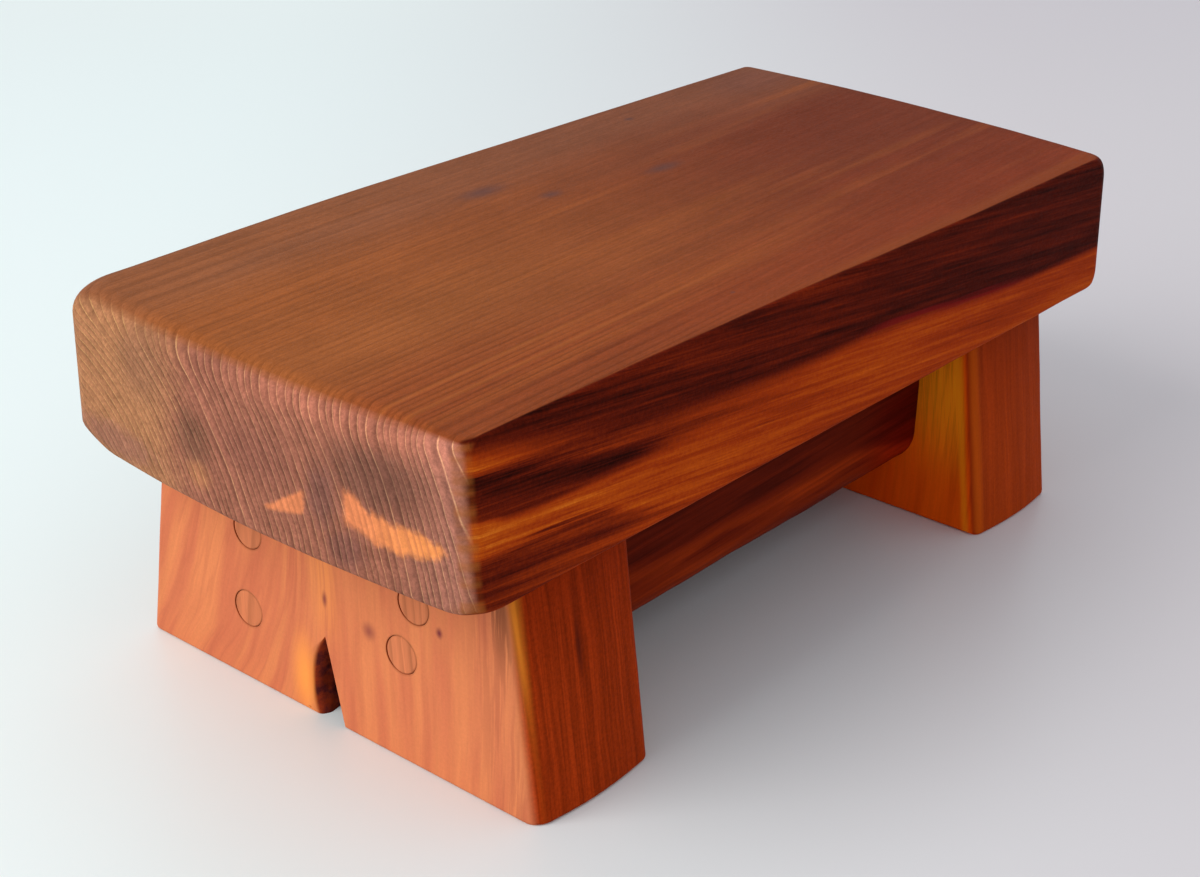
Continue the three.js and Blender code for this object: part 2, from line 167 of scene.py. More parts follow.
def piece(name, parts, node, finish):
    """A closed piece in its place, with its faces turned outwards, standing for a plain node."""
    points, triangles = joined(parts)
    a, b, c = (points[triangles[:, k]] for k in range(3))
    if np.einsum("ij,ij->i", a, np.cross(b, c)).sum() < 0:
        triangles = triangles[:, ::-1]
    mesh = bpy.data.meshes.new(name)
    mesh.from_pydata((points * MILLIMETRE).tolist(), [], triangles.tolist())
    mesh.polygons.foreach_set("use_smooth", np.ones(len(triangles), bool))
    mesh.materials.append(finish)
    mesh.validate()
    mesh.update()
    thing = bpy.data.objects.new(name, mesh)
    bpy.context.scene.collection.objects.link(thing)
    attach(thing, "root")
    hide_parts(node)


def flat_face(border, holes):
    """A flat face inside a closed border of points in a plane, less its round holes."""
    loops = [border, *holes]
    points = np.vstack(loops)
    starts = np.cumsum([0] + [len(loop) for loop in loops[:-1]])
    counts = [np.arange(len(loop)) for loop in loops]
    edges = np.vstack([np.stack([n, np.roll(n, -1)], -1) + start for n, start in zip(counts, starts)])
    found = delaunay_2d_cdt([Vector(p) for p in points], edges.tolist(), [], 1, 1e-7)
    flat = np.array([points[same[0]] if same else tuple(p) for p, same in zip(found[0], found[3])])
    triangles = np.array(found[2])
    middle = flat[triangles].mean(axis=1)
    inside = np.zeros(len(middle), bool)
    for loop in loops:
        a, b = loop, np.roll(loop, -1, axis=0)
        crosses = (a[None, :, 1] > middle[:, 1:]) != (b[None, :, 1] > middle[:, 1:])
        rise = np.where(b[:, 1] == a[:, 1], 1e-12, b[:, 1] - a[:, 1])
        at = a[:, 0] + (middle[:, 1:] - a[:, 1]) / rise * (b[:, 0] - a[:, 0])
        inside ^= ((crosses & (middle[:, :1] < at)).sum(axis=1) % 2).astype(bool)
    return flat, triangles[inside]


def drawn_in(loop, distance):
    """A closed loop in a plane, counter-clockwise, drawn in by a distance square to its run."""
    run = np.roll(loop, -1, axis=0) - np.roll(loop, 1, axis=0)
    run /= np.linalg.norm(run, axis=1, keepdims=True)
    return loop + distance * np.stack([-run[:, 1], run[:, 0]], -1)


def seat_surface():
    """The slab: its plan, with bowed ends, stacked from the underside to the top.

    At each height the plan is made shorter by the ends' roundings and narrower by the front's lean and
    rounding and the back's bevel and rounding. The right end slants and swells as far as the full length.
    The roundings differ from place to place, as worn by use, and wander a little along the edge. Rings
    shrunk towards the middle close the two faces.
    """
    half_length, half = SEAT_LENGTH / 2, SEAT_WIDTH / 2
    near, far, far_back, worn = SEAT_CORNERS
    skew = SEAT_FAR_SKEW * (1 - (far + far_back) / SEAT_WIDTH)
    swelling = (skew + 4 * SEAT_FAR_BOW) ** 2 / (16 * SEAT_FAR_BOW)
    far_corner = half_length - swelling - SEAT_FAR_SKEW * far / SEAT_WIDTH
    corner = half_length - SEAT_BOW
    plan = eased_outline(
        [
            (-corner, -half, near, SEAT_BOW),
            (far_corner, -half, far, 0),
            (far_corner + SEAT_FAR_SKEW, half, far_back, SEAT_FAR_BOW),
            (-corner, half - SEAT_BACK_TAPER, worn, 0),
        ],
        side_steps=(120, 110, 90, 130),
        corner_steps=16,
    )
    turn = np.linspace(0, np.pi / 2, 14)
    top = SEAT_END_ROUND + 0.5
    lower = SEAT_FAR_UNDER_ROUND * (1 - np.cos(turn))
    upper = SEAT_THICKNESS - top * (1 - np.sin(turn))
    side = np.linspace(SEAT_FAR_UNDER_ROUND, SEAT_THICKNESS - top, 22)[1:-1]
    near_top = SEAT_THICKNESS - np.array([0.4, 0.8, 1.2, 2.5, 3.4])
    heights = np.unique(np.round(np.concatenate([[0.4, 1.2, 1.9], lower, side, upper, near_top]), 4))
    shrink = np.array([0.0, 0.25, 0.5, 0.72, 0.88, 0.96, 0.99, 0.997])
    levels = np.concatenate([np.zeros(len(shrink)), heights, np.full(len(shrink), SEAT_THICKNESS)])
    sizes = np.concatenate([shrink, np.ones(len(heights)), shrink[::-1]])
    up = levels[:, None]
    down = SEAT_THICKNESS - up
    x, y = plan[:, 0][None, :], plan[:, 1][None, :]

    from_left, from_front = x + half_length, y + half
    sharp = np.where(x < 0, np.exp(-((from_front / SEAT_SHARP_REACH) ** 2)), from_front / SEAT_WIDTH)
    end_round = SEAT_END_ROUND + (SEAT_SHARP_ROUND - SEAT_END_ROUND) * sharp
    end_round = end_round * (1 + 0.05 * unevenness(y + 3 * np.sign(x), 1.3, 97))
    under_round = SEAT_UNDER_ROUND * (1 - 0.15 * np.abs(unevenness(x + y, 2.1, 140)))
    foot_round = np.where(x < 0, under_round, SEAT_FAR_UNDER_ROUND)
    worn_share = np.exp(-((from_left / SEAT_WORN_REACH) ** 2))
    back_round = SEAT_BACK_ROUND + (SEAT_WORN_ROUND - SEAT_BACK_ROUND) * worn_share
    back_round = back_round * (1 + 0.05 * unevenness(x, 3.7, 150))
    front_round = SEAT_FRONT_ROUND * (1 + 0.2 * unevenness(x, 0.6, 120))
    end = rounded_back(end_round, down) + rounded_back(foot_round, up)
    lean = np.interp(x, *np.transpose(SEAT_LEANS)) * up / SEAT_THICKNESS
    front = lean + rounded_back(front_round, down) + rounded_back(under_round, up)
    rise = np.clip(1 - up / (BEVEL_HEIGHT * (1 - 0.1 * np.abs(unevenness(x, 5.2, 170)))), 0, 1)
    back = rounded_back(back_round, down) + BEVEL_WIDTH * rise**BEVEL_HOLLOW
    out_x = x * (1 - end / half_length)
    out_y = y * (1 - (front + back) / SEAT_WIDTH) + (front - back) / 2
    out_z = SEAT_UNDERSIDE + up + 0 * x

    points = np.stack([sizes[:, None] * out_x, sizes[:, None] * out_y, out_z], -1)
    # The near lower left corner is worn away.
    worn_corner, worn_reach = np.array([-corner, -half, SEAT_UNDERSIDE]), np.array([13, 10, 9])
    away = np.linalg.norm((points - worn_corner) / worn_reach, axis=-1, keepdims=True)
    points = points + 2.2 * np.clip(1 - away, 0, 1) ** 1.5 * np.array([0.6, 0.55, 0.58])
    rows, columns = points.shape[:2]
    return [(points.reshape(-1, 3), grid_triangles(rows, columns, closed=True))]


def notch_walls(depth, floor, shares):
    """The bark pocket at each depth: y of its front and back walls, and z from the floor up to its tip.

    The outline shrinks towards the inner face, the back wall's lip is rounded, and both walls are rough
    inside.
    """
    share = 1 - (1 - NOTCH_INNER) * depth / LEG_THICKNESS
    bend = bezier_curve([(NOTCH_BACK, 0), (7.6, 10), (5.1, 22), (0, NOTCH_HEIGHT)], np.linspace(0, 1, 60))
    z = floor + (NOTCH_HEIGHT * share - floor) * shares
    inside = smooth_step(depth, 1.5, 7) * smooth_step(1 - shares, 0, 0.25)
    rough = 0.45 * unevenness(z + 0.6 * depth, 2.2, 9) + 0.35 * unevenness(depth - 0.4 * z, 0.9, 7)
    front = -NOTCH_FRONT * (share - z / NOTCH_HEIGHT) - rounded_back(0.6, depth) * (1 - shares)
    belly = np.interp(z / share, bend[:, 1], bend[:, 0]) * share
    back = belly + rounded_back(NOTCH_LIP, depth) * smooth_step(1 - shares, 0, 0.3)
    front = front + NOTCH_ASIDE + 0.6 * inside * rough
    back = back + NOTCH_ASIDE + inside * (rough + 0.25 * unevenness(z, 3.1, 2.6))
    return front, back, z


def leg_surface(outward, worn_corner, notched):
    """A leg: its outline as seen from the end, carried through the board's thickness.

    At each depth the half width is that of the plan, with its rounded corners and bowed sides, times the
    taper at that height, less the easing by the floor. The outline runs up the front, along the top, down the
    back and along the foot, where it goes round the bark pocket on the notched leg.
    """
    bends = np.array([0, 0.04, 0.15, 0.35, 0.6, 0.95, 1.5, 2.2, 3, 3.9, 4.9, 6, 7])
    inner = LEG_THICKNESS - bends[::-1]
    depth = np.concatenate([bends, np.linspace(8.2, LEG_THICKNESS - 8.2, 30), inner])[:, None]
    left = LEG_THICKNESS - depth
    floor = rounded_back(FOOT_EASE, depth) + rounded_back(FOOT_EASE, left)

    def half_width(corner):
        swell = np.clip((depth - corner) / (LEG_THICKNESS - corner - LEG_CORNER), 0, 1)
        bowed = LEG_FOOT_WIDTH / 2 - LEG_BOW + LEG_BOW * 4 * swell * (1 - swell)
        return bowed - rounded_back(corner, depth) - rounded_back(LEG_CORNER, left)

    def side(corner, shares, seed):
        z = floor + (LEG_HEIGHT - floor) * shares
        taper = 1 + (LEG_TOP_WIDTH / LEG_FOOT_WIDTH - 1) * z / LEG_HEIGHT
        eased = rounded_back(FOOT_EASE, z - floor) + rounded_back(0.5, LEG_HEIGHT - z)
        wander = 0.12 * (unevenness(z + depth, seed, 70) - 1)
        return half_width(corner) * taper - eased + wander * np.ones_like(z), z

    low = FOOT_EASE * (1 - np.cos(np.linspace(0, np.pi / 2, 7)))
    rising = np.concatenate([low, np.linspace(3, 81, 34), [81.4, 81.6, 81.75, LEG_HEIGHT]]) / LEG_HEIGHT
    front_y, front_z = side(worn_corner, rising[None, :], 1.1)
    back_y, back_z = side(LEG_CORNER, rising[None, ::-1], 2.3)
    across = np.linspace(0, 1, 30)[None, 1:-1]
    top_y = -front_y[:, -1:] + (front_y[:, -1:] + back_y[:, :1]) * across
    top_z = LEG_HEIGHT + 0 * top_y
    if notched:
        climb = np.linspace(0, 1, 44)[None, :]
        near, far, wall_z = notch_walls(depth, floor, climb)
        pocket_z = np.hstack([wall_z[:, :-1], wall_z[:, ::-1]])
        pocket_y = np.hstack([far[:, :-1], near[:, ::-1]])
        foot_back = back_y[:, -1:] + (far[:, :1] - back_y[:, -1:]) * across
        foot_front = near[:, :1] + (-front_y[:, :1] - near[:, :1]) * across
        foot_y = np.hstack([foot_back, pocket_y, foot_front])
        foot_z = np.hstack([floor + 0 * foot_back, pocket_z, floor + 0 * foot_front])
    else:
        foot_y = back_y[:, -1:] + (-front_y[:, :1] - back_y[:, -1:]) * across
        foot_z = floor + 0 * foot_y
    # Seen with Y to the right and Z up, this runs clockwise.
    y = np.hstack([-front_y, top_y, back_y, foot_y])
    z = np.hstack([front_z, top_z, back_z, foot_z])
    x = outward * (LEG_OUTSIDE - depth) + 0 * y

    outline = np.stack([y, z], -1)
    parts = []
    holes = [np.array(place) for place in PLUG_PLACES.values()]
    circle = np.linspace(0, 2 * np.pi, 64, endpoint=False)
    round_edge = np.stack([np.cos(circle), np.sin(circle)], -1)
    bore = PLUG_RADIUS + BORE_ROOM
    mouths = [place + (bore + 0.3) * round_edge for place in holes]
    rims = []
    for row, piercing in ((0, mouths), (-1, [])):
        rim = outline[row][::-1]
        inset = drawn_in(rim, 0.18)
        rims.append(inset[::-1])
        flat, triangles = flat_face(inset, piercing)
        faces = np.column_stack([np.full(len(flat), x[row, 0]), flat])
        parts.append((faces, triangles if row == 0 else triangles[:, ::-1]))
    y = np.vstack([rims[0][:, 0], y, rims[1][:, 0]])
    z = np.vstack([rims[0][:, 1], z, rims[1][:, 1]])
    x = np.vstack([x[:1], x, x[-1:]])
    skin = np.stack([x, y, z], -1)
    parts.append((skin.reshape(-1, 3), grid_triangles(*skin.shape[:2], closed=True)))
    profile = np.array([(0.3, 0), (0.12, 0.0), (0.03, 0.06), (0, 0.25), (0, PLUG_LENGTH + 0.1)])
    radii = np.append(bore + profile[:, 0], [bore / 2, 0])
    depths = np.append(profile[:, 1], [PLUG_LENGTH + 0.1] * 2)
    for place in holes:
        ring = place + radii[:, None, None] * round_edge
        wall = np.dstack([np.broadcast_to(outward * (LEG_OUTSIDE - depths)[:, None], ring.shape[:2]), ring])
        triangles = grid_triangles(*wall.shape[:2], closed=True)
        parts.append((wall.reshape(-1, 3), triangles))
    return parts


def plug_surface(outward, place, sunk):
    """A plug: its profile, a flat face with a softened rim, carried round its axis along X."""
    face, rim = [(0, 0), (2, 0), (4, 0)], [(0.95, 0), (0.5, 0.03), (0.25, 0.1), (0.08, 0.25), (0, 0.5)]
    tail = [(0, PLUG_LENGTH - 0.6), (0.35, PLUG_LENGTH), (PLUG_RADIUS, PLUG_LENGTH)]
    profile = np.array([*face, *((PLUG_RADIUS - inset, depth) for inset, depth in rim + tail)])
    circle = np.linspace(0, 2 * np.pi, 64, endpoint=False)[None, :]
    radius, depth = profile[:, :1], profile[:, 1:]
    depth = np.minimum(depth + sunk, PLUG_LENGTH)
    x = outward * (LEG_OUTSIDE - depth) + 0 * circle
    y = place[0] + radius * np.cos(circle)
    z = place[1] + radius * np.sin(circle)
    wall = np.stack([x, y, z], -1)
    return [(wall.reshape(-1, 3), grid_triangles(*wall.shape[:2], closed=True))]


def rail_surface(middle, floor_gap, lower_front_round, seed):
    """A rail: its rounded section carried along X.

    The lower edges wander a little, as on a sawn board. The ends are eased by half a millimetre, and rings
    shrunk towards the middle close them.
    """
    half, height = RAIL_THICKNESS / 2, LEG_HEIGHT - floor_gap
    corners = [
        (-half, 0, lower_front_round, 0),
        (half, 0, RAIL_EASE, 0),
        (half, height, RAIL_EASE, 0),
        (-half, height, RAIL_EASE, 0),
    ]
    section = eased_outline(corners, side_steps=(20, 26, 20, 26), corner_steps=18)
    ease = 0.5 * (1 - np.cos(np.linspace(0, np.pi / 2, 5)))
    reach = RAIL_LENGTH / 2
    along = np.concatenate([-reach + ease, np.linspace(-reach + 2, reach - 2, 60), reach - ease[::-1]])
    sizes = np.array([0, 0.5, 0.9, 0.99])
    x = np.concatenate([np.full(4, -reach), along, np.full(4, reach)])[:, None]
    shrunk = np.concatenate([sizes, np.ones(len(along)), sizes[::-1]])[:, None]
    back = rounded_back(0.5, reach - np.abs(x))
    y, z = section[:, 0][None, :], section[:, 1][None, :]
    lower = 1 - smooth_step(z, 0, 24)
    worn = lower * 0.35 * (1 + unevenness(x, seed, 83))
    y = y - np.sign(y) * back
    z = z + np.where(z < height / 2, back, -back) + worn
    centre = height / 2
    y = middle + shrunk * y
    z = floor_gap + centre + shrunk * (z - centre)
    wall = np.stack([x + 0 * y, y, z], -1)
    return [(wall.reshape(-1, 3), grid_triangles(*wall.shape[:2], closed=True))]


# Finishes


class Nodes:
    """Adds nodes to a tree and joins them up."""

    def __init__(self, tree):
        self.tree = tree
        tree.nodes.clear()

    def add(self, kind, values=None, **settings):
        node = self.tree.nodes.new("ShaderNode" + kind)
        for key, value in settings.items():
            setattr(node, key, value)
        for key, value in (values or {}).items():
            if isinstance(value, bpy.types.NodeSocket):
                self.tree.links.new(value, node.inputs[key])
            else:
                node.inputs[key].default_value = value
        return node

    def maths(self, operation, *values, clamp=False):
        node = self.add("Math", dict(enumerate(values)), operation=operation)
        node.use_clamp = clamp
        return node.outputs[0]

    def most(self, first, *others):
        for value in others:
            first = self.maths("MAXIMUM", first, value)
        return first

    def seen(self):
        """1 for rays that show the background: straight from the camera, mirrored or passed through."""
        rays = self.add("LightPath").outputs
        return self.most(rays["Is Camera Ray"], rays["Is Glossy Ray"], rays["Is Transmission Ray"])


class Finish(Nodes):
    """One finish, called f below. Its patterns read the place in millimetres."""

    def __init__(self, name):
        self.material = bpy.data.materials.new(name)
        self.material.use_nodes = True
        super().__init__(self.material.node_tree)
        spot = self.add("TexCoord")
        self.place = self.vector("SCALE", spot.outputs["Object"], scale=1 / MILLIMETRE)
        self.x, self.y, self.z = self.apart(self.place)
        self.end_place = self.together(0.0, self.y, self.z)
        self.facing = self.apart(spot.outputs["Normal"])

    def times(self, first, *others):
        for value in others:
            first = self.maths("MULTIPLY", first, value)
        return first

    def plus(self, first, second):
        return self.maths("ADD", first, second)

    def minus(self, first, second):
        return self.maths("SUBTRACT", first, second)

    def over(self, first, second):
        return self.maths("DIVIDE", first, second)

    def absolute(self, value):
        return self.maths("ABSOLUTE", value)

    def scaled(self, value, factor, start):
        """A value times a factor, plus a start."""
        return self.maths("MULTIPLY_ADD", value, factor, start)

    def blend(self, share, low, high):
        """A number that goes from low to high as the share goes from 0 to 1."""
        return self.plus(low, self.times(share, self.minus(high, low)))

    def vector(self, operation, *values, scale=None):
        node = self.add("VectorMath", dict(enumerate(values)), operation=operation)
        if scale is not None:
            node.inputs["Scale"].default_value = scale
        return node.outputs["Value" if operation == "LENGTH" else "Vector"]

    def apart(self, vector):
        return tuple(self.add("SeparateXYZ", {0: vector}).outputs)

    def together(self, x, y, z):
        return self.add("CombineXYZ", {0: x, 1: y, 2: z}).outputs[0]

    def step(self, value, low, high, to_low=0.0, to_high=1.0):
        """to_low below low and to_high above high, with a smooth change between."""
        values = {"Value": value, "From Min": low, "From Max": high, "To Min": to_low, "To Max": to_high}
        return self.add("MapRange", values, interpolation_type="SMOOTHSTEP").outputs[0]

    def fall(self, value, low, high, share=1.0):
        """The share below low and 0 above high, with a smooth change between."""
        return self.step(value, low, high, share, 0.0)

    def hill(self, value, low, full, fading, high):
        """0 below low, 1 from full to fading and 0 again above high, with smooth changes between."""
        return self.times(self.step(value, low, full), self.fall(value, fading, high))

    def noise(self, vector, scale, detail=2.0, rough=0.5, bend=0.0, output=0):
        values = {"Vector": vector, "Scale": scale, "Detail": detail, "Roughness": rough, "Distortion": bend}
        return self.add("TexNoise", values).outputs[output]

    def full(self, value, low=0.32, high=0.68):
        """A noise drawn out to the full range from 0 to 1."""
        return self.step(value, low, high)

    def mix(self, share, low, high):
        """A colour that goes from low to high as the share goes from 0 to 1."""
        values = {0: share, 6: self.colour(low), 7: self.colour(high)}
        return self.add("Mix", values, data_type="RGBA").outputs[2]

    def colour(self, value):
        return value if isinstance(value, bpy.types.NodeSocket) else (*value, 1.0)

    def tinted(self, colour, tint):
        return self.vector("MULTIPLY", colour, tint)

    def darker(self, colour, share):
        return self.vector("SCALE", colour, scale=share)

    def line(self, value, points):
        """A smooth line through points (place, height), as heights in millimetres."""
        low, high = points[0][0], points[-1][0]
        heights = [height for _, height in points]
        bottom, span = min(heights), max(heights) - min(heights)
        share = self.maths("DIVIDE", self.minus(value, low), high - low, clamp=True)
        node = self.add("FloatCurve", {"Value": share})
        curve = node.mapping.curves[0]
        while len(curve.points) < len(points):
            curve.points.new(0.5, 0.5)
        for point, (place, height) in zip(curve.points, points):
            point.location = ((place - low) / (high - low), (height - bottom) / span)
        node.mapping.update()
        return self.scaled(node.outputs[0], span, bottom)

    def ramp(self, value, stops):
        """A colour that runs through stops (place from 0 to 1, colour) as the value rises."""
        node = self.add("ValToRGB", {0: value})
        elements = node.color_ramp.elements
        for element, (place, colour) in ((elements[0], stops[0]), (elements[1], stops[-1])):
            element.position, element.color = place, (*colour, 1.0)
        for place, colour in stops[1:-1]:
            elements.new(place).color = (*colour, 1.0)
        return node.outputs[0]

    def oval(self, place, centre, size):
        """How far a place lies from an oval's middle: 0 there and 1 at the oval's edge."""
        off = self.vector("DIVIDE", self.vector("SUBTRACT", place, centre), size)
        return self.vector("LENGTH", off)

    def spot(self, centre, size):
        """1 in the middle of an oval spot and 0 outside it."""
        return self.fall(self.oval(self.place, centre, size), 0.0, 1.0)

    def finish(self, colour, roughness, height, lift, specular=0.04):
        """An oiled surface, whose relief stands up by lift millimetres."""
        bump = self.add("Bump", {"Strength": 1.0, "Distance": lift * MILLIMETRE, "Height": height})
        values = {
            "Base Color": colour,
            "Roughness": roughness,
            "Specular IOR Level": specular,
            "IOR": 1.25,
            "Normal": bump.outputs[0],
        }
        shader = self.add("BsdfPrincipled", values)
        self.add("OutputMaterial", {0: shader.outputs[0]})
        return self.material


def growth(f, order, pith, drift, spacing, wander, push=None, seed=0.0):
    """The timber's growth: rings about a pith that runs along the grain.

    order names the two directions across the grain and the one along it. The distance from the pith, swayed
    by slow noise that is drawn out along the grain, is counted in rings. Each ring darkens slowly into late
    wood and ends in a thin light thread. Returns both, each ring's own tone, fine fibres, broad streaks, slow
    clouds, all from 0 to 1, and the places across and along the grain.
    """
    parts = {"X": f.x, "Y": f.y, "Z": f.z}
    along = parts[order[2]]
    first, second = (
        f.scaled(along, -lean, f.minus(parts[key], middle)) for key, middle, lean in zip(order, pith, drift)
    )
    drawn = f.together(first, second, f.scaled(along, 0.14, seed))
    across = drawn
    for scale, detail, reach in ((0.021, 2.0, wander), (0.13, 3.0, 0.2 * wander)):
        sway = f.vector("SUBTRACT", f.noise(drawn, scale, detail, output=1), (0.5,) * 3)
        across = f.vector("ADD", across, f.vector("SCALE", sway, scale=reach))
    radius = f.vector("LENGTH", f.vector("MULTIPLY", across, (1, 1, 0)))
    if push is not None:
        radius = f.plus(radius, push)
    widths = f.add("TexNoise", {"W": radius, "Scale": 0.07, "Detail": 1.0}, noise_dimensions="1D").outputs[0]
    count = f.scaled(widths, 2.0, f.over(radius, spacing))
    within = f.maths("FRACT", count)
    found = {"across": first, "deep": second, "along": along}
    found["late"] = f.hill(within, 0.3, 0.78, 0.82, 0.9)
    found["thread"] = f.hill(within, 0.84, 0.92, 0.94, 1.0)
    ring = {"W": f.maths("FLOOR", count)}
    found["tone"] = f.add("TexWhiteNoise", ring, noise_dimensions="1D").outputs[0]
    found["cloud"] = f.noise(drawn, 0.035)
    found["fibre"] = marks(f, found, 30, 0.4, seed, detail=4.0, rough=0.65)
    found["streak"] = marks(f, found, 70, 2.4, seed, detail=3.0, rough=0.6)
    return found


def marks(f, wood, length, width, seed=0.0, detail=2.0, rough=0.5):
    """Marks of a given length and width, drawn out along the grain: noise from 0 to 1."""
    across, deep = f.over(wood["across"], width), f.over(wood["deep"], width)
    place = f.together(across, deep, f.scaled(wood["along"], 1 / length, seed))
    return f.noise(place, 1.0, detail, rough)


def shaded(f, colour, *swings):
    """A colour made darker and lighter by swings (value from 0 to 1, how much it changes the brightness)."""
    shade = f.times(*(f.scaled(value, share, 1 - share / 2) for value, share in swings))
    return f.tinted(colour, f.together(shade, shade, shade))


def rimmed(f, colour, rise, fade):
    """A colour with a darker ring round each plug, that comes in and fades out between two radii each."""
    for place in PLUG_PLACES.values():
        away = f.vector("LENGTH", f.vector("SUBTRACT", f.end_place, (0, *place)))
        rim = f.hill(away, *rise, *fade)
        colour = f.mix(f.times(rim, 0.3), colour, (0.24, 0.095, 0.035))
    return colour


# Where the middle of the tree lay, behind the seat: y and z at its middle
SEAT_PITH = (113, 49)
# The dark timber's colours, from its blackest heartwood to its lightest streaks
HEARTWOOD = [
    (0.0, (0.022, 0.0024, 0.0012)),
    (0.15, (0.066, 0.0056, 0.0020)),
    (0.3, (0.136, 0.0110, 0.0026)),
    (0.45, (0.240, 0.0235, 0.0030)),
    (0.62, (0.385, 0.0410, 0.0036)),
    (0.8, (0.545, 0.0850, 0.0050)),
    (1.0, (0.80, 0.200, 0.0150)),
]
# Lines on the seat's front, through places along it and their heights: the lower edge of the dark
# heartwood, the two edges of the dark band at the left end, and the top of the dark wedge under it
HEART_LINE = [
    (-184, 131.5), (-170, 130), (-155, 127.9), (-140, 124.9), (-120, 120.7), (-100, 117.2), (-75, 113.7),
    (-45, 110.5), (-10, 109), (20, 108.5), (40, 106.9), (55, 105.2), (70, 103.6), (90, 101.9), (120, 100.2),
    (184, 98.4),
]
BAND_TOP = [
    (-184, 126.5), (-170, 123.3), (-150, 118.7), (-130, 114.6), (-110, 110.7), (-98, 108.3), (-70, 105),
]
BAND_FOOT = [
    (-184, 112.5), (-172, 110.7), (-160, 108), (-140, 106.8), (-120, 106.4), (-100, 105.6), (-86, 105.6),
    (-70, 105.4),
]
WEDGE_TOP = [
    (-184, 98.6), (-165, 98.2), (-140, 98.2), (-125, 95.6), (-110, 91.4), (-95, 87.4), (-80, 84.2), (-62, 79),
]
# Outlines of the two orange patches on the left end: the upper and the lower edge of each, as y and z
GLOW_EDGES = (
    [
        (-82, 100.4), (-80, 101.2), (-76, 102.4), (-69, 103.6), (-61, 103.6), (-55.6, 103.9), (-51, 105.2),
        (-47, 107.4), (-43, 108.3),
    ],
    [(-82, 101), (-80, 100.4), (-77, 98.6), (-71, 96.2), (-60.4, 95), (-49, 97), (-43, 98.6)],
)
TRIANGLE_EDGES = (
    [(-27.5, 103.4), (-24.2, 101.8), (-19.3, 98.6), (-14.5, 95.4), (-9.5, 92.6)],
    [(-27.5, 96.6), (-25.2, 95.2), (-17.4, 93.4), (-13.5, 92.6), (-9.5, 92.2)],
)
# Darker places on the ends: middle and reach as y and z, how strongly each shows, and its colour
END_SHADES = (
    ((-55, 115), (22, 12), 0.85, (0.190, 0.076, 0.052)),
    ((-43, 90), (9, 7), 0.7, (0.190, 0.074, 0.058)),
    ((-34, 104), (7, 12), 0.75, (0.200, 0.080, 0.062)),
    ((-8, 108), (20, 11), 0.45, (0.235, 0.084, 0.060)),
    ((20, 104), (10, 11), 0.75, (0.195, 0.082, 0.050)),
    ((44, 121), (13, 15), 0.5, (0.25, 0.105, 0.062)),
    ((60, 90), (26, 7), 0.55, (0.26, 0.105, 0.085)),
)
# Knots on the top: middle and reach
KNOTS = [
    ((-24.5, 52.5, 134), (17, 6.5, 14)),
    ((-9.5, 33.5, 134), (8, 4.2, 10)),
    ((42, 24.5, 134), (15, 5.0, 9)),
    ((81, 72.5, 134), (4, 2.6, 6)),
    ((-42, -69.5, 134), (1.6, 0.9, 4)),
]


def front_bands(f):
    """The front's colour: how light the timber is at each place, as bands along the seat, torn by streaks.

    The bands' edges follow lines. The streaks run along the seat and fall a little to the right, and each
    stretch of edge is as soft as on the real one.
    """
    slanted = f.scaled(f.x, 0.1, f.z)

    def drawn(length, width, seed, detail=2.0, rough=0.5):
        spot = f.together(f.over(f.x, length), f.over(slanted, width), seed)
        return f.minus(f.noise(spot, 1.0, detail, rough), 0.5)

    broad = drawn(110, 5, 3.1)
    middle = drawn(75, 1.9, 7.7, detail=3.0, rough=0.55)
    fine = drawn(22, 0.7, 1.9, detail=3.0, rough=0.65)
    grit = f.minus(f.noise(f.place, 0.8, detail=3.0, rough=0.7), 0.5)
    torn = f.scaled(broad, 5.0, f.scaled(middle, 6.0, f.scaled(fine, 2.2, f.z)))

    def above(points, softness):
        return f.step(f.over(f.minus(torn, f.line(f.x, points)), softness), -1.0, 1.0)

    # The orange part, lighter near the left end and darker along its foot
    light = f.scaled(f.fall(f.x, -178, -90), 0.1, f.step(f.x, -150, 150, 0.67, 0.6))
    light = f.plus(light, f.times(f.fall(f.z, 83, 90), f.step(f.x, -30, 150, -0.085, 0.06)))
    first = f.times(f.step(f.x, -180, -146, -0.08, -0.33), above(BAND_FOOT, 4.0))
    light = f.plus(light, f.times(first, f.step(f.x, -110, -30, 1.0, 0.15)))
    # The dark wedge at the foot of the left end
    wedge = f.times(f.minus(1.0, above(WEDGE_TOP, 1.8)), f.step(f.x, -128, -84, 1.0, 0.1))
    light = f.blend(wedge, light, f.step(f.z, 84, 95, 0.43, 0.33))
    # The dark band at the left end
    inside = f.times(f.minus(1.0, above(BAND_TOP, 3.2)), above(BAND_FOOT, 1.6))
    inside = f.times(inside, f.fall(f.scaled(middle, 30, f.x), -112, -88))
    below_top = f.minus(f.line(f.x, BAND_TOP), f.z)
    light = f.blend(inside, light, f.step(below_top, 1.0, 8.0, 0.04, 0.2))
    # The dark heartwood along the top
    top = above(HEART_LINE, f.step(f.x, -150, 60, 3.4, 1.9))
    to_edge = f.step(f.minus(f.z, f.line(f.x, HEART_LINE)), 0.0, 14.0, -0.05, 0.02)
    light = f.blend(top, light, f.plus(f.step(f.x, -60, 130, 0.225, 0.14), to_edge))

    swing = f.times(f.scaled(light, 0.12, 0.51), f.step(f.x, -150, 60, 1.0, 0.82))
    for value, share in ((broad, 0.7), (middle, 1.2), (fine, 0.8), (grit, 0.45)):
        light = f.scaled(f.times(value, share), swing, light)
    off = f.absolute(f.minus(f.minus(torn, f.line(f.x, HEART_LINE)), 0.4))
    fringe = f.times(f.fall(off, 0.3, 2.4, 0.6), f.hill(f.x, 0, 30, 90, 125))
    return f.mix(fringe, f.ramp(light, HEARTWOOD), (0.23, 0.008, 0.008))


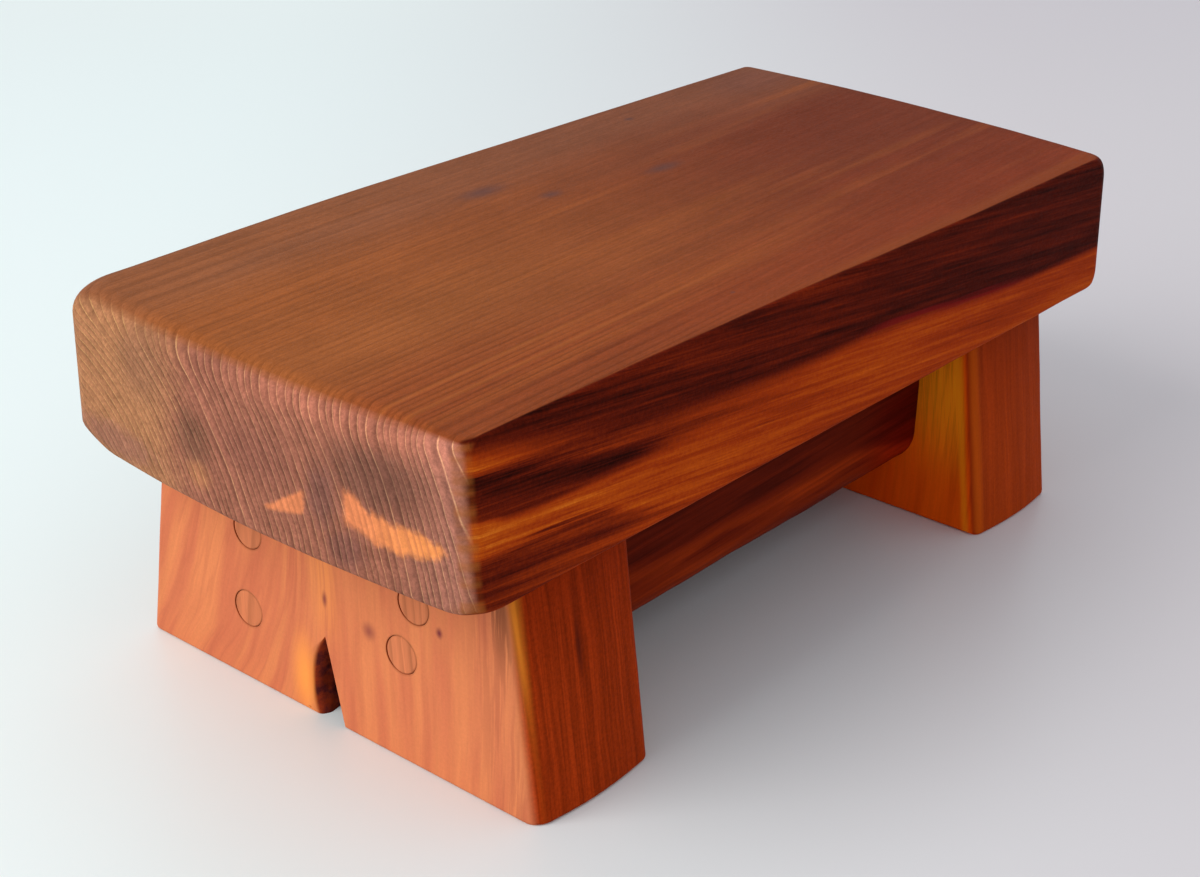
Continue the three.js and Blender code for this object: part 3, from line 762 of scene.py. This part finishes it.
def end_patches(f, wood):
    """How far a place lies in the two orange patches on the left end, whose edges are torn by the rings."""
    teeth = f.scaled(wood["tone"], 1.2, -0.6)
    ragged = f.minus(f.noise(f.end_place, 0.55, detail=3.0), 0.5)
    sideways = f.scaled(ragged, 2.5, f.y)

    def between(edges, height, top_run, foot_run):
        """1 well inside the two edges. A run says how far outside and inside its edge the change reaches."""
        upper, lower = (f.line(f.y, edge) for edge in edges)
        under, over = f.minus(upper, height), f.minus(height, lower)
        return f.times(f.step(under, *top_run), f.step(over, *foot_run))

    glow = between(GLOW_EDGES, f.scaled(ragged, 3.2, f.plus(f.z, teeth)), (-1.4, 1.8), (-1.4, 1.8))
    glow = f.times(glow, f.hill(sideways, -83, -76, -44.4, -41.6))
    triangle = between(TRIANGLE_EDGES, f.scaled(ragged, 1.6, f.z), (-0.7, 1.2), (-0.7, 1.0))
    triangle = f.times(triangle, f.hill(sideways, -28.2, -26.0, -12.5, -9.8))
    return f.most(glow, f.times(triangle, 0.85))


def end_colour(f, wood):
    """The ends: rings with thin light threads on brown, golden at the back, with soft darker places, and a
    painted highlight along the rounded top edge towards the front.
    """
    swirl = f.noise(f.end_place, 0.3, detail=4.0, rough=0.6, bend=0.6)
    grit = f.full(f.noise(f.place, 0.95, detail=4.0, rough=0.75))
    along = f.scaled(swirl, 16, f.scaled(wood["cloud"], 14, f.y))
    end = f.mix(f.step(along, 34, 60), (0.325, 0.116, 0.073), (0.395, 0.168, 0.078))
    end = f.mix(f.fall(along, -70, -42), end, (0.375, 0.144, 0.099))
    for centre, size, share, colour in END_SHADES:
        off = f.oval(f.end_place, (0, *centre), (1, *size))
        reach = f.scaled(f.minus(swirl, 0.5), -1.1, off)
        end = f.mix(f.fall(reach, 0.35, 1.15, share), end, colour)
    burl = f.oval(f.end_place, (0, 18, 93), (1, 6, 5))
    end = f.mix(f.fall(burl, 0.3, 1.3, 0.5), end, (0.48, 0.195, 0.080))
    patchy = f.step(f.noise(f.end_place, 0.09), 0.38, 0.62, 0.6, 1.0)
    quiet = f.times(patchy, f.step(along, 40, 62, 1.0, 0.6))
    thread, late = f.times(wood["thread"], quiet), f.times(wood["late"], quiet)
    end = shaded(f, end, (grit, 0.36), (f.full(swirl), 0.24), (wood["tone"], 0.2))
    end = f.mix(late, end, f.darker(end, 0.6))
    end = f.mix(f.times(thread, 0.9), end, f.tinted(end, (1.65, 2.2, 1.75)))
    # Painted highlight: the end is lighter along its rounded top edge, towards the front.
    painted_edge_highlight = f.times(f.step(f.z, 119, 131), f.fall(f.y, -30, 20), 0.4)
    end = f.mix(painted_edge_highlight, end, f.tinted(end, (1.9, 1.75, 1.7)))
    sap = f.mix(f.step(f.y, -74, -44), (0.86, 0.290, 0.088), (0.76, 0.235, 0.095))
    sap = shaded(f, sap, (grit, 0.16), (f.full(swirl), 0.14), (wood["tone"], 0.14))
    sap = f.mix(f.times(wood["late"], 0.6), sap, (0.52, 0.165, 0.070))
    glow = f.times(end_patches(f, wood), f.fall(f.x, -160, -150))
    return f.mix(glow, end, sap), thread, late, grit


def top_colour(f, wood, grit):
    """Top, back and underside: fine grain, brown to the left, a greyer brown towards the back of the top that
    is partly painted sheen, and redder to the right.
    """
    right = f.step(f.scaled(wood["cloud"], 90, f.x), -140, 190)
    top = f.mix(right, (0.325, 0.096, 0.027), (0.168, 0.034, 0.0145))
    # A paler, greyer brown towards the back of the top: partly the timber and partly painted sheen.
    far = f.step(f.scaled(wood["cloud"], 60, f.y), 50, 110)
    far = f.times(far, f.step(f.facing[2], 0.1, 0.7), 0.55)
    top = f.mix(far, top, (0.240, 0.096, 0.050))
    ruddy = f.fall(f.scaled(wood["cloud"], -40, f.y), -95, -30, 0.6)
    top = f.mix(ruddy, top, (0.232, 0.037, 0.0120))
    back_corner = f.oval(f.place, (162, 72, 134), (34, 17, 40))
    top = f.mix(f.fall(back_corner, 0.3, 1.1, 0.5), top, (0.185, 0.066, 0.044))
    bands = marks(f, wood, 190, 9, 4.0)
    top = f.mix(f.step(bands, 0.5, 0.75, 0.0, 0.35), top, (0.37, 0.100, 0.024))
    lines = f.full(marks(f, wood, 45, 0.8, 7.0, detail=3.0))
    specks = f.full(marks(f, wood, 5, 0.9, 9.0, detail=3.0, rough=0.7))
    pores = f.full(marks(f, wood, 2.2, 0.5, 5.0, rough=0.6), 0.35, 0.65)
    mottle = f.full(f.noise(f.place, 0.03, detail=4.0, rough=0.55))
    swings = ((marks(f, wood, 80, 3.0, 2.0), 0.3), (lines, 0.13), (specks, 0.13), (pores, 0.14))
    top = shaded(f, top, *swings, (grit, 0.07), (mottle, 0.1))
    fading = f.step(f.scaled(wood["cloud"], -60, f.x), -190, 20, 1.0, 0.3)
    top = f.mix(f.times(wood["late"], fading), top, f.darker(top, 0.86))
    near_left = f.times(f.fall(f.x, -130, -40), f.fall(f.y, -60, -20))
    top = f.mix(f.times(near_left, wood["late"]), top, f.darker(top, 0.88))
    # Two pale lines along the grain
    for place in (-44.9, -53.6):
        off = f.absolute(f.minus(f.plus(wood["across"], SEAT_PITH[0]), place))
        pale = f.times(f.fall(off, 0.3, 1.6, 0.55), f.fall(f.x, -160, 50))
        top = f.mix(f.times(pale, wood["streak"]), top, (0.50, 0.150, 0.035))
    at_edge = f.times(f.fall(f.y, -83, -76), f.step(f.x, -120, 60), 0.5)
    return f.mix(at_edge, top, (0.250, 0.058, 0.016))


def seat_finish():
    """Reddish brown softwood: fine grain on top, rings on the ends, dark and orange bands in front."""
    f = Finish("oiled red softwood of the seat")
    # The grain bends round the three large knots, most round the first.
    bends = [f.spot(centre, tuple(1.7 * reach for reach in size)) for centre, size in KNOTS[:3]]
    push = f.scaled(bends[2], 1.8, f.scaled(bends[1], 1.8, f.times(bends[0], 3.4)))
    wood = growth(f, "YZX", SEAT_PITH, (0.045, 0.0), 2.7, 4, push)
    end, thread, late, grit = end_colour(f, wood)

    to_front = f.step(f.times(f.facing[1], -1), 0.12, 0.42)
    colour = f.mix(to_front, top_colour(f, wood, grit), front_bands(f))
    colour = f.mix(f.step(f.absolute(f.facing[0]), 0.42, 0.8), colour, end)
    # The gold along the upright corner between the left end and the front
    diagonal = f.times(f.facing[0], f.facing[1])
    corner = f.times(f.step(diagonal, 0.12, 0.42), f.fall(f.x, -170, -160), f.fall(f.y, -60, -40))
    broken = f.noise(f.together(0.0, 0.0, f.z), 0.16)
    colour = f.mix(f.times(corner, f.step(broken, 0.42, 0.6, 0.1, 0.6)), colour, (0.38, 0.112, 0.022))
    knot = f.most(*(f.spot(*knot) for knot in KNOTS))
    colour = f.mix(f.times(knot, 0.68), colour, (0.100, 0.050, 0.048))

    on_ends = f.step(f.absolute(f.facing[0]), 0.08, 0.5)
    ribs = f.times(f.scaled(late, -0.8, f.times(thread, 0.4)), on_ends)
    relief = f.scaled(grit, 0.3, f.scaled(wood["fibre"], 0.25, ribs))
    rough = f.scaled(wood["fibre"], 0.2, f.scaled(grit, 0.15, 0.34))
    return f.finish(colour, rough, relief, 0.2)


def leg_finish(name, seed, outer, inner, edge, figure, dress):
    """Orange softwood with upright grain: a broad figure on the wide faces, and lines on the narrow sides.

    outer and inner are the two colours of the wide faces' figure, and edge is the narrow sides' colour. The
    narrow sides' deep red and the right leg's saturated inner face are partly the timber and partly painted
    shade, and the narrow sides also get painted shade that darkens them towards the top, under the seat. The
    faces that turn to the back or to the right have one plain colour without this painted shade. figure says
    how strong the lines are, and dress adds the leg's own marks.
    """
    f = Finish(name)
    # On the back half of a wide face the figure leans towards the front as it rises.
    lean = f.step(f.y, -6, 26, 0.0, 0.42)
    waves = f.noise(f.together(seed, f.times(f.y, 0.6), f.times(f.z, 0.8)), 0.03, detail=1.5)
    swept = f.scaled(f.minus(waves, 0.5), f.step(f.y, -30, 30, 5.0, 16.0), f.scaled(f.z, lean, f.y))

    def drawn(length, width, shift, detail=2.0, rough=0.5):
        spot = f.together(f.over(swept, width), f.over(f.z, length), f.scaled(f.x, 0.1, shift))
        return f.noise(spot, 1.0, detail, rough)

    broad = drawn(70, 7, seed)
    streak = drawn(45, 2.2, seed + 5, 3.0, 0.6)
    fine = drawn(12, 0.7, seed + 9, 3.0, 0.65)
    face = f.mix(f.full(broad), outer, inner)
    crease = f.absolute(f.minus(drawn(60, 6, seed + 2, 1.0), 0.5))
    crease = f.times(f.fall(crease, 0.0, 0.05, 0.17), f.step(f.y, -5, 15))
    face = f.mix(crease, face, f.tinted(inner, (0.72, 0.58, 0.72)))
    specks = f.full(f.noise(f.place, 0.9, detail=3.0, rough=0.7))
    face = shaded(f, face, (f.full(streak), 0.06), (f.full(fine), 0.035), (specks, 0.05))
    # The narrow sides' lines run with the taper, so their depth is measured from the slanted side.
    tapered = f.scaled(f.z, LEG_TAPER, f.absolute(f.y))
    sway = f.noise(f.together(f.x, tapered, f.times(f.z, 0.3)), 0.05, detail=3.0)
    upright = {"across": f.scaled(sway, 6.0, f.x), "deep": tapered, "along": f.z}
    lines = f.full(marks(f, upright, 45, 0.9, seed, detail=3.0), 0.36, 0.64)
    streaks = f.full(marks(f, upright, 160, 3.2, seed))
    narrow = shaded(f, edge, (streaks, 0.3 * figure), (lines, 0.3 * figure), (specks, 0.26 * figure))
    # Painted shade: the narrow sides darken towards the top, under the seat.
    narrow = f.mix(f.step(f.z, 30, 84, 0.0, 0.6), narrow, f.tinted(narrow, (0.66, 0.5, 0.45)))
    side = f.step(f.absolute(f.facing[1]), 0.35, 0.8)
    colour = f.mix(side, face, narrow)
    # The deep red of the narrow sides and the right leg's saturated inner face are partly the timber and
    # partly painted shade; the faces that turn to the back or to the right get one plain colour without it.
    turned_away = f.most(f.step(f.facing[1], 0.3, 0.7), f.step(f.facing[0], 0.5, 0.95))
    swings = ((f.full(broad), 0.14), (streaks, 0.2), (lines, 0.16), (specks, 0.1))
    colour = f.mix(turned_away, colour, shaded(f, (0.60, 0.175, 0.075), *swings))
    colour = dress(f, colour, upright, side, streak)
    relief = f.scaled(fine, 0.6, f.times(specks, 0.4))
    return f.finish(colour, f.scaled(fine, 0.2, 0.36), relief, 0.07)


def from_front_edge(f):
    """How far a place on a leg lies behind the tapered front edge."""
    return f.minus(f.y, f.scaled(f.z, LEG_TAPER, -LEG_FOOT_WIDTH / 2))


def left_leg_marks(f, colour, upright, side, streak):
    """The golden strip on the outer front edge, the bright band over the notch, knots, plug rims and bark."""
    inwards = from_front_edge(f)
    on_face = f.minus(1.0, side)
    purple = f.times(f.hill(inwards, 3, 8, 14, 30), f.step(streak, 0.42, 0.6), on_face, 0.5)
    colour = f.mix(purple, colour, (0.42, 0.110, 0.055))
    beside = f.absolute(f.minus(f.y, f.scaled(f.z, 0.06, -2.2)))
    band = f.times(f.fall(beside, 1.0, 9.0), f.step(f.z, 22, 44), f.step(streak, 0.3, 0.6, 0.2, 0.6))
    colour = f.mix(band, colour, (0.86, 0.300, 0.085))
    reach = f.step(f.z, 0, 82, 2.2, 4.6)
    strip = f.times(f.fall(f.minus(inwards, reach), -1.4, 1.2), f.fall(f.plus(f.x, LEG_OUTSIDE), 1.2, 5.0))
    strip = f.times(strip, f.step(f.z, 5, 60, 0.3, 0.85))
    gold = shaded(f, (0.74, 0.235, 0.022), (f.full(marks(f, upright, 70, 2.4)), 0.4))
    colour = f.mix(strip, colour, gold)
    dark = f.times(f.hill(inwards, 4.0, 6.0, 9.0, 13.0), f.step(f.z, 38, 70), f.step(streak, 0.46, 0.56))
    colour = f.mix(f.times(dark, on_face, 0.7), colour, (0.20, 0.060, 0.028))
    colour = rimmed(f, colour, (6.35, 6.6), (6.6, 7.2))
    for centre, size, share, shown in (
        ((-152, 0.6, 44.4), (9, 1.7, 4.0), 0.75, (0.15, 0.022, 0.040)),
        ((-152, -18.9, 40.6), (9, 4.2, 4.4), 0.6, (0.15, 0.022, 0.040)),
        ((-152, -48.8, 51.8), (9, 2.0, 2.6), 0.9, (0.15, 0.022, 0.040)),
        # The crack on the narrow side, and the glow beside the notch
        ((-128.3, -84, 51), (2.2, 9, 15), 0.8, (0.085, 0.010, 0.004)),
        ((-150, 10.8, 12), (12, 8.5, 23), 0.95, (0.98, 0.335, 0.070)),
    ):
        colour = f.mix(f.times(f.spot(centre, size), share), colour, shown)
    # Bark inside the notch
    through = f.hill(f.x, -151.7, -150.6, -100.5, -99.3)
    deep = f.times(f.hill(f.y, -9, -7.5, 7.4, 8.4), f.fall(f.z, 31, 33), through)
    patchy = f.noise(f.place, 0.22, detail=5.0, rough=0.7)
    bark = f.mix(f.step(patchy, 0.36, 0.66), (0.085, 0.013, 0.014), (0.27, 0.034, 0.010))
    bark = f.mix(f.step(f.facing[1], 0.0, 0.5), bark, (0.105, 0.030, 0.060))
    return f.mix(deep, colour, bark)


def right_leg_marks(f, colour, upright, side, streak):
    """Golden sapwood on the inner face towards the front, with a brown line and an orange stripe."""
    inwards = from_front_edge(f)
    inner = f.fall(f.facing[0], -0.9, -0.4)
    gold = f.times(f.step(inwards, 4, 8), f.fall(f.scaled(streak, 24, inwards), 26, 60), inner)
    gold = f.times(gold, f.step(f.z, 12, 56, 0.1, 1.0))
    swings = ((f.full(streak), 0.4), (f.full(marks(f, upright, 30, 0.6)), 0.16))
    colour = f.mix(gold, colour, shaded(f, (1.0, 0.275, 0.008), *swings))
    swayed = f.scaled(streak, 1.6, inwards)
    for place, width, share, shown in (
        (4.2, 1.8, 0.85, (0.26, 0.018, 0.003)),
        (8.0, 2.2, 0.5, (1.0, 0.300, 0.008)),
    ):
        off = f.absolute(f.minus(swayed, place))
        colour = f.mix(f.times(f.fall(off, 0.2, width, share), inner), colour, shown)
    edge = f.times(f.fall(f.x, 101, 105), side, 0.5)
    return f.mix(edge, colour, (0.60, 0.105, 0.006))


def rail_finish(name, pith, seed, upper, lower, divide, tint=(1.0, 1.0, 1.0)):
    """Dark red softwood with its grain along the rail, darker above a wandering line and redder below it.

    upper and lower say how light the colour is on each side of that line; the darker part above is partly the
    timber and partly painted shade under the seat.
    """
    f = Finish(name)
    wood = growth(f, "YZX", pith, (0.02, 0.03), 2.9, 6, seed=seed)
    broad = f.minus(marks(f, wood, 60, 6, seed), 0.5)
    # Darker above the wandering line and lighter below it: partly the timber and partly painted shade under
    # the seat.
    over = f.minus(f.scaled(broad, 9, f.z), f.line(f.x, divide))
    light = f.scaled(f.step(over, -2.2, 2.2), upper - lower, lower)
    light = f.plus(light, f.fall(f.absolute(f.minus(over, -4)), 0.5, 3.5, 0.09))
    streak, fibre = f.minus(wood["streak"], 0.5), f.minus(wood["fibre"], 0.5)
    for value, share in ((broad, 0.35), (streak, 0.28), (fibre, 0.22)):
        light = f.scaled(value, share, light)
    specks = f.noise(f.place, 0.9, detail=3.0, rough=0.7)
    colour = f.ramp(light, HEARTWOOD)
    crimson = f.times(f.step(f.x, 52, 88), f.fall(f.z, 50, 62, 0.7))
    colour = f.mix(crimson, colour, f.tinted(colour, (1.0, 0.3, 0.4)))
    colour = shaded(f, f.tinted(colour, tint), (specks, 0.3), (wood["late"], -0.15))
    relief = f.scaled(wood["fibre"], 0.6, f.times(specks, 0.4))
    return f.finish(colour, f.scaled(wood["fibre"], 0.2, 0.42), relief, 0.07)


def plug_finish(name, middle, seed):
    """A plug cut across a board of the same wood: upright grain, a little duller, with a thin darker rim."""
    f = Finish(name)
    wood = growth(f, "XYZ", middle, (0.05, 0.04), 2.1, 4, seed=seed)
    colour = f.mix(wood["cloud"], (0.60, 0.185, 0.075), (0.52, 0.165, 0.078))
    swings = ((wood["streak"], 0.35), (wood["fibre"], 0.3), (wood["late"], -0.2), (wood["tone"], 0.12))
    colour = rimmed(f, shaded(f, colour, *swings), (5.7, 6.3), (6.6, 7.0))
    relief = f.scaled(wood["fibre"], 0.5, f.times(wood["late"], 0.5))
    return f.finish(colour, f.scaled(wood["fibre"], 0.2, 0.4), relief, 0.06)


def dowel_finish():
    """Bare pale hardwood with short dark pores."""
    f = Finish("bare beech dowel")
    wood = growth(f, "XYZ", (140, 30), (0.0, 0.0), 1.8, 3)
    colour = f.mix(wood["cloud"], (0.58, 0.36, 0.18), (0.66, 0.44, 0.24))
    colour = shaded(f, colour, (wood["fibre"], 0.4), (wood["streak"], 0.2), (wood["late"], -0.2))
    return f.finish(colour, f.scaled(wood["fibre"], 0.2, 0.6), wood["fibre"], 0.04, specular=0.3)


def screw_finish():
    """Bright zinc plating with fine turning marks and duller patches."""
    f = Finish("zinc plated screw")
    turned = f.noise(f.together(f.times(f.x, 6.0), f.y, f.z), 1.4, detail=3.0)
    dull = f.noise(f.place, 0.35, detail=3.0)
    colour = f.mix(f.step(dull, 0.4, 0.65), (0.62, 0.60, 0.54), (0.46, 0.43, 0.36))
    bump = f.add("Bump", {"Strength": 0.6, "Distance": 0.02 * MILLIMETRE, "Height": turned})
    rough = f.scaled(dull, 0.3, 0.2)
    values = {"Base Color": colour, "Metallic": 1.0, "Roughness": rough, "Normal": bump.outputs[0]}
    f.add("OutputMaterial", {0: f.add("BsdfPrincipled", values).outputs[0]})
    return f.material


# The stool

piece("seat", seat_surface(), "seat_slab", seat_finish())

# Each leg's edge colour, and the right leg's outer and inner colours, are partly the timber and partly
# painted shade.
left_timber = leg_finish(
    "oiled orange softwood of the left leg",
    seed=11.0,
    outer=(0.70, 0.222, 0.088),
    inner=(0.60, 0.165, 0.076),
    edge=(0.325, 0.031, 0.003),
    figure=1.0,
    dress=left_leg_marks,
)
right_timber = leg_finish(
    "oiled orange softwood of the right leg",
    seed=47.0,
    outer=(0.84, 0.088, 0.003),
    inner=(0.70, 0.060, 0.002),
    edge=(0.37, 0.042, 0.004),
    figure=0.6,
    dress=right_leg_marks,
)
piece("left_leg_board", leg_surface(-1, LEG_WORN_CORNER, True), "left_leg", left_timber)
piece("right_leg_board", leg_surface(1, LEG_CORNER, False), "right_leg", right_timber)

front_rail_timber = rail_finish(
    "oiled dark softwood of the front rail",
    pith=(-10, -60),
    seed=5.0,
    upper=0.22,
    lower=0.36,
    divide=[(-100, 46), (-60, 44), (-20, 43), (34, 42.5), (50, 42.2), (66, 39.7), (84, 35.6), (100, 33)],
)
back_rail_timber = rail_finish(
    "oiled dark softwood of the back rail",
    pith=(90, -70),
    seed=71.0,
    upper=0.42,
    lower=0.52,
    divide=[(-100, 40), (-30, 44), (40, 38), (100, 41)],
    tint=(0.8, 1.3, 3.0),
)
front_rail = rail_surface(-RAIL_OFFSET, FRONT_RAIL_GAP, FRONT_RAIL_ROUND, 1.4)
back_rail = rail_surface(RAIL_OFFSET, BACK_RAIL_GAP, RAIL_EASE, 2.6)
piece("front_rail_board", front_rail, "front_rail", front_rail_timber)
piece("back_rail_board", back_rail, "back_rail", back_rail_timber)

left_plugs = plug_finish("oiled softwood of the left plugs", (-90, 10), 23.0)
right_plugs = plug_finish("oiled softwood of the right plugs", (90, -14), 61.0)
for side, outward, finish in (("left", -1, left_plugs), ("right", 1, right_plugs)):
    for (row, place), sunk in zip(PLUG_PLACES.items(), PLUG_DEPTHS):
        plug = plug_surface(outward, place, sunk)
        piece(f"{side}_{row}_cover", plug, f"{side}_{row}_plug", finish)

dowel_timber, screw_plating = dowel_finish(), screw_finish()
for name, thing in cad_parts.items():
    if name.endswith(("_dowel", "_screw")):
        thing.data.materials.clear()
        thing.data.materials.append(dowel_timber if name.endswith("_dowel") else screw_plating)


# Floor, light and camera

# Colours to the left and to the right of the view: of the floor, and of the background far from the stool.
# Their darkening to the right is painted falloff of the window's light; the bluish and lavender tints are
# their own.
FLOOR_COLOURS = (0.83, 0.92, 0.91), (0.67, 0.63, 0.655)
BACKGROUND_COLOURS = (0.82, 0.885, 0.875), (0.57, 0.55, 0.60)
FLOOR_REACH = 6000
# The camera that fits the photograph: its place in metres and its turns in radians, the focal length and the
# photograph's width in pixels, and the film's width in millimetres
CAMERA_PLACE, CAMERA_YAW, CAMERA_PITCH, CAMERA_ROLL = (-0.5305, -0.4177, 0.3639), 0.885, -0.439, 0.027
FOCAL_PIXELS, PHOTO_PIXELS, FILM_WIDTH = 2067.3, 1200, 36
# The window: its place and the point that it lights, in metres, its side and its power in watts
WINDOW_PLACE, LIT_POINT, WINDOW_SIZE, WINDOW_POWER = (-2.06, 0.77, 1.66), (0, 0, 0.07), 1.8, 50


def floor_surface():
    """A round floor: rings of growing radius about the origin."""
    radius = np.concatenate([[0], np.geomspace(50, FLOOR_REACH, 30)])[:, None]
    circle = np.linspace(0, 2 * np.pi, 96, endpoint=False)[None, :]
    rings = np.stack([radius * np.cos(circle), radius * np.sin(circle), 0 * radius * circle], -1)
    return joined([(rings.reshape(-1, 3), grid_triangles(*rings.shape[:2], closed=True))])


def pale_colour(f, left, right):
    """Bluish white to the left of the view, and a greyer lavender to its right, darker there by painted
    falloff of the window's light.
    """
    across = f.scaled(f.x, 0.633, f.times(f.y, -0.774))
    return f.mix(f.step(across, -280, 280), left, right)


def floor_finish():
    """A pale floor with a slight sheen, that turns into the plain background from about a metre away."""
    f = Finish("pale floor")
    values = {"Base Color": pale_colour(f, *FLOOR_COLOURS), "Roughness": 0.35, "Specular IOR Level": 0.4}
    near = f.add("BsdfPrincipled", values).outputs[0]
    far = f.add("Emission", {"Color": pale_colour(f, *BACKGROUND_COLOURS)}).outputs[0]
    share = f.times(f.step(f.vector("LENGTH", f.place), 550, 1500), f.seen())
    f.add("OutputMaterial", {0: f.add("MixShader", {0: share, 1: near, 2: far}).outputs[0]})
    return f.material


floor_points, floor_triangles = floor_surface()
floor_mesh = bpy.data.meshes.new("floor")
floor_mesh.from_pydata((floor_points * MILLIMETRE).tolist(), [], floor_triangles.tolist())
floor_mesh.materials.append(floor_finish())
floor = bpy.data.objects.new("floor", floor_mesh)
bpy.context.scene.collection.objects.link(floor)

world = bpy.data.worlds.new("soft room light")
bpy.context.scene.world = world
world.use_nodes = True
sky = Nodes(world.node_tree)
room = sky.add("Background", {"Color": (0.93, 0.96, 1.0, 1), "Strength": 0.72}).outputs[0]
shown = sky.add("Background", {"Color": (0.70, 0.72, 0.745, 1), "Strength": 1.0}).outputs[0]
sky.add("OutputWorld", {0: sky.add("MixShader", {0: sky.seen(), 1: room, 2: shown}).outputs[0]})

lamp = bpy.data.lights.new("window", "AREA")
lamp.shape, lamp.size, lamp.energy, lamp.color = "SQUARE", WINDOW_SIZE, WINDOW_POWER, (1.0, 0.985, 0.96)
window = bpy.data.objects.new("window", lamp)
window.location = WINDOW_PLACE
towards = Vector(LIT_POINT) - window.location
window.rotation_euler = towards.to_track_quat("-Z", "Y").to_euler()
bpy.context.scene.collection.objects.link(window)

level = np.cos(CAMERA_PITCH)
ahead = Vector((level * np.sin(CAMERA_YAW), level * np.cos(CAMERA_YAW), np.sin(CAMERA_PITCH)))
right = ahead.cross(Vector((0, 0, 1))).normalized()
above = right.cross(ahead)
turned_right = np.cos(CAMERA_ROLL) * right + np.sin(CAMERA_ROLL) * above
turned_up = -np.sin(CAMERA_ROLL) * right + np.cos(CAMERA_ROLL) * above
camera_data = bpy.data.cameras.new("camera")
camera_data.sensor_fit, camera_data.sensor_width = "HORIZONTAL", FILM_WIDTH
camera_data.lens = FOCAL_PIXELS / PHOTO_PIXELS * FILM_WIDTH
camera = bpy.data.objects.new("camera", camera_data)
turn = Matrix((turned_right, turned_up, -ahead)).transposed()
camera.matrix_world = Matrix.Translation(CAMERA_PLACE) @ turn.to_4x4()
bpy.context.scene.collection.objects.link(camera)
bpy.context.scene.camera = camera
bpy.context.scene.view_settings.view_transform = "Standard"
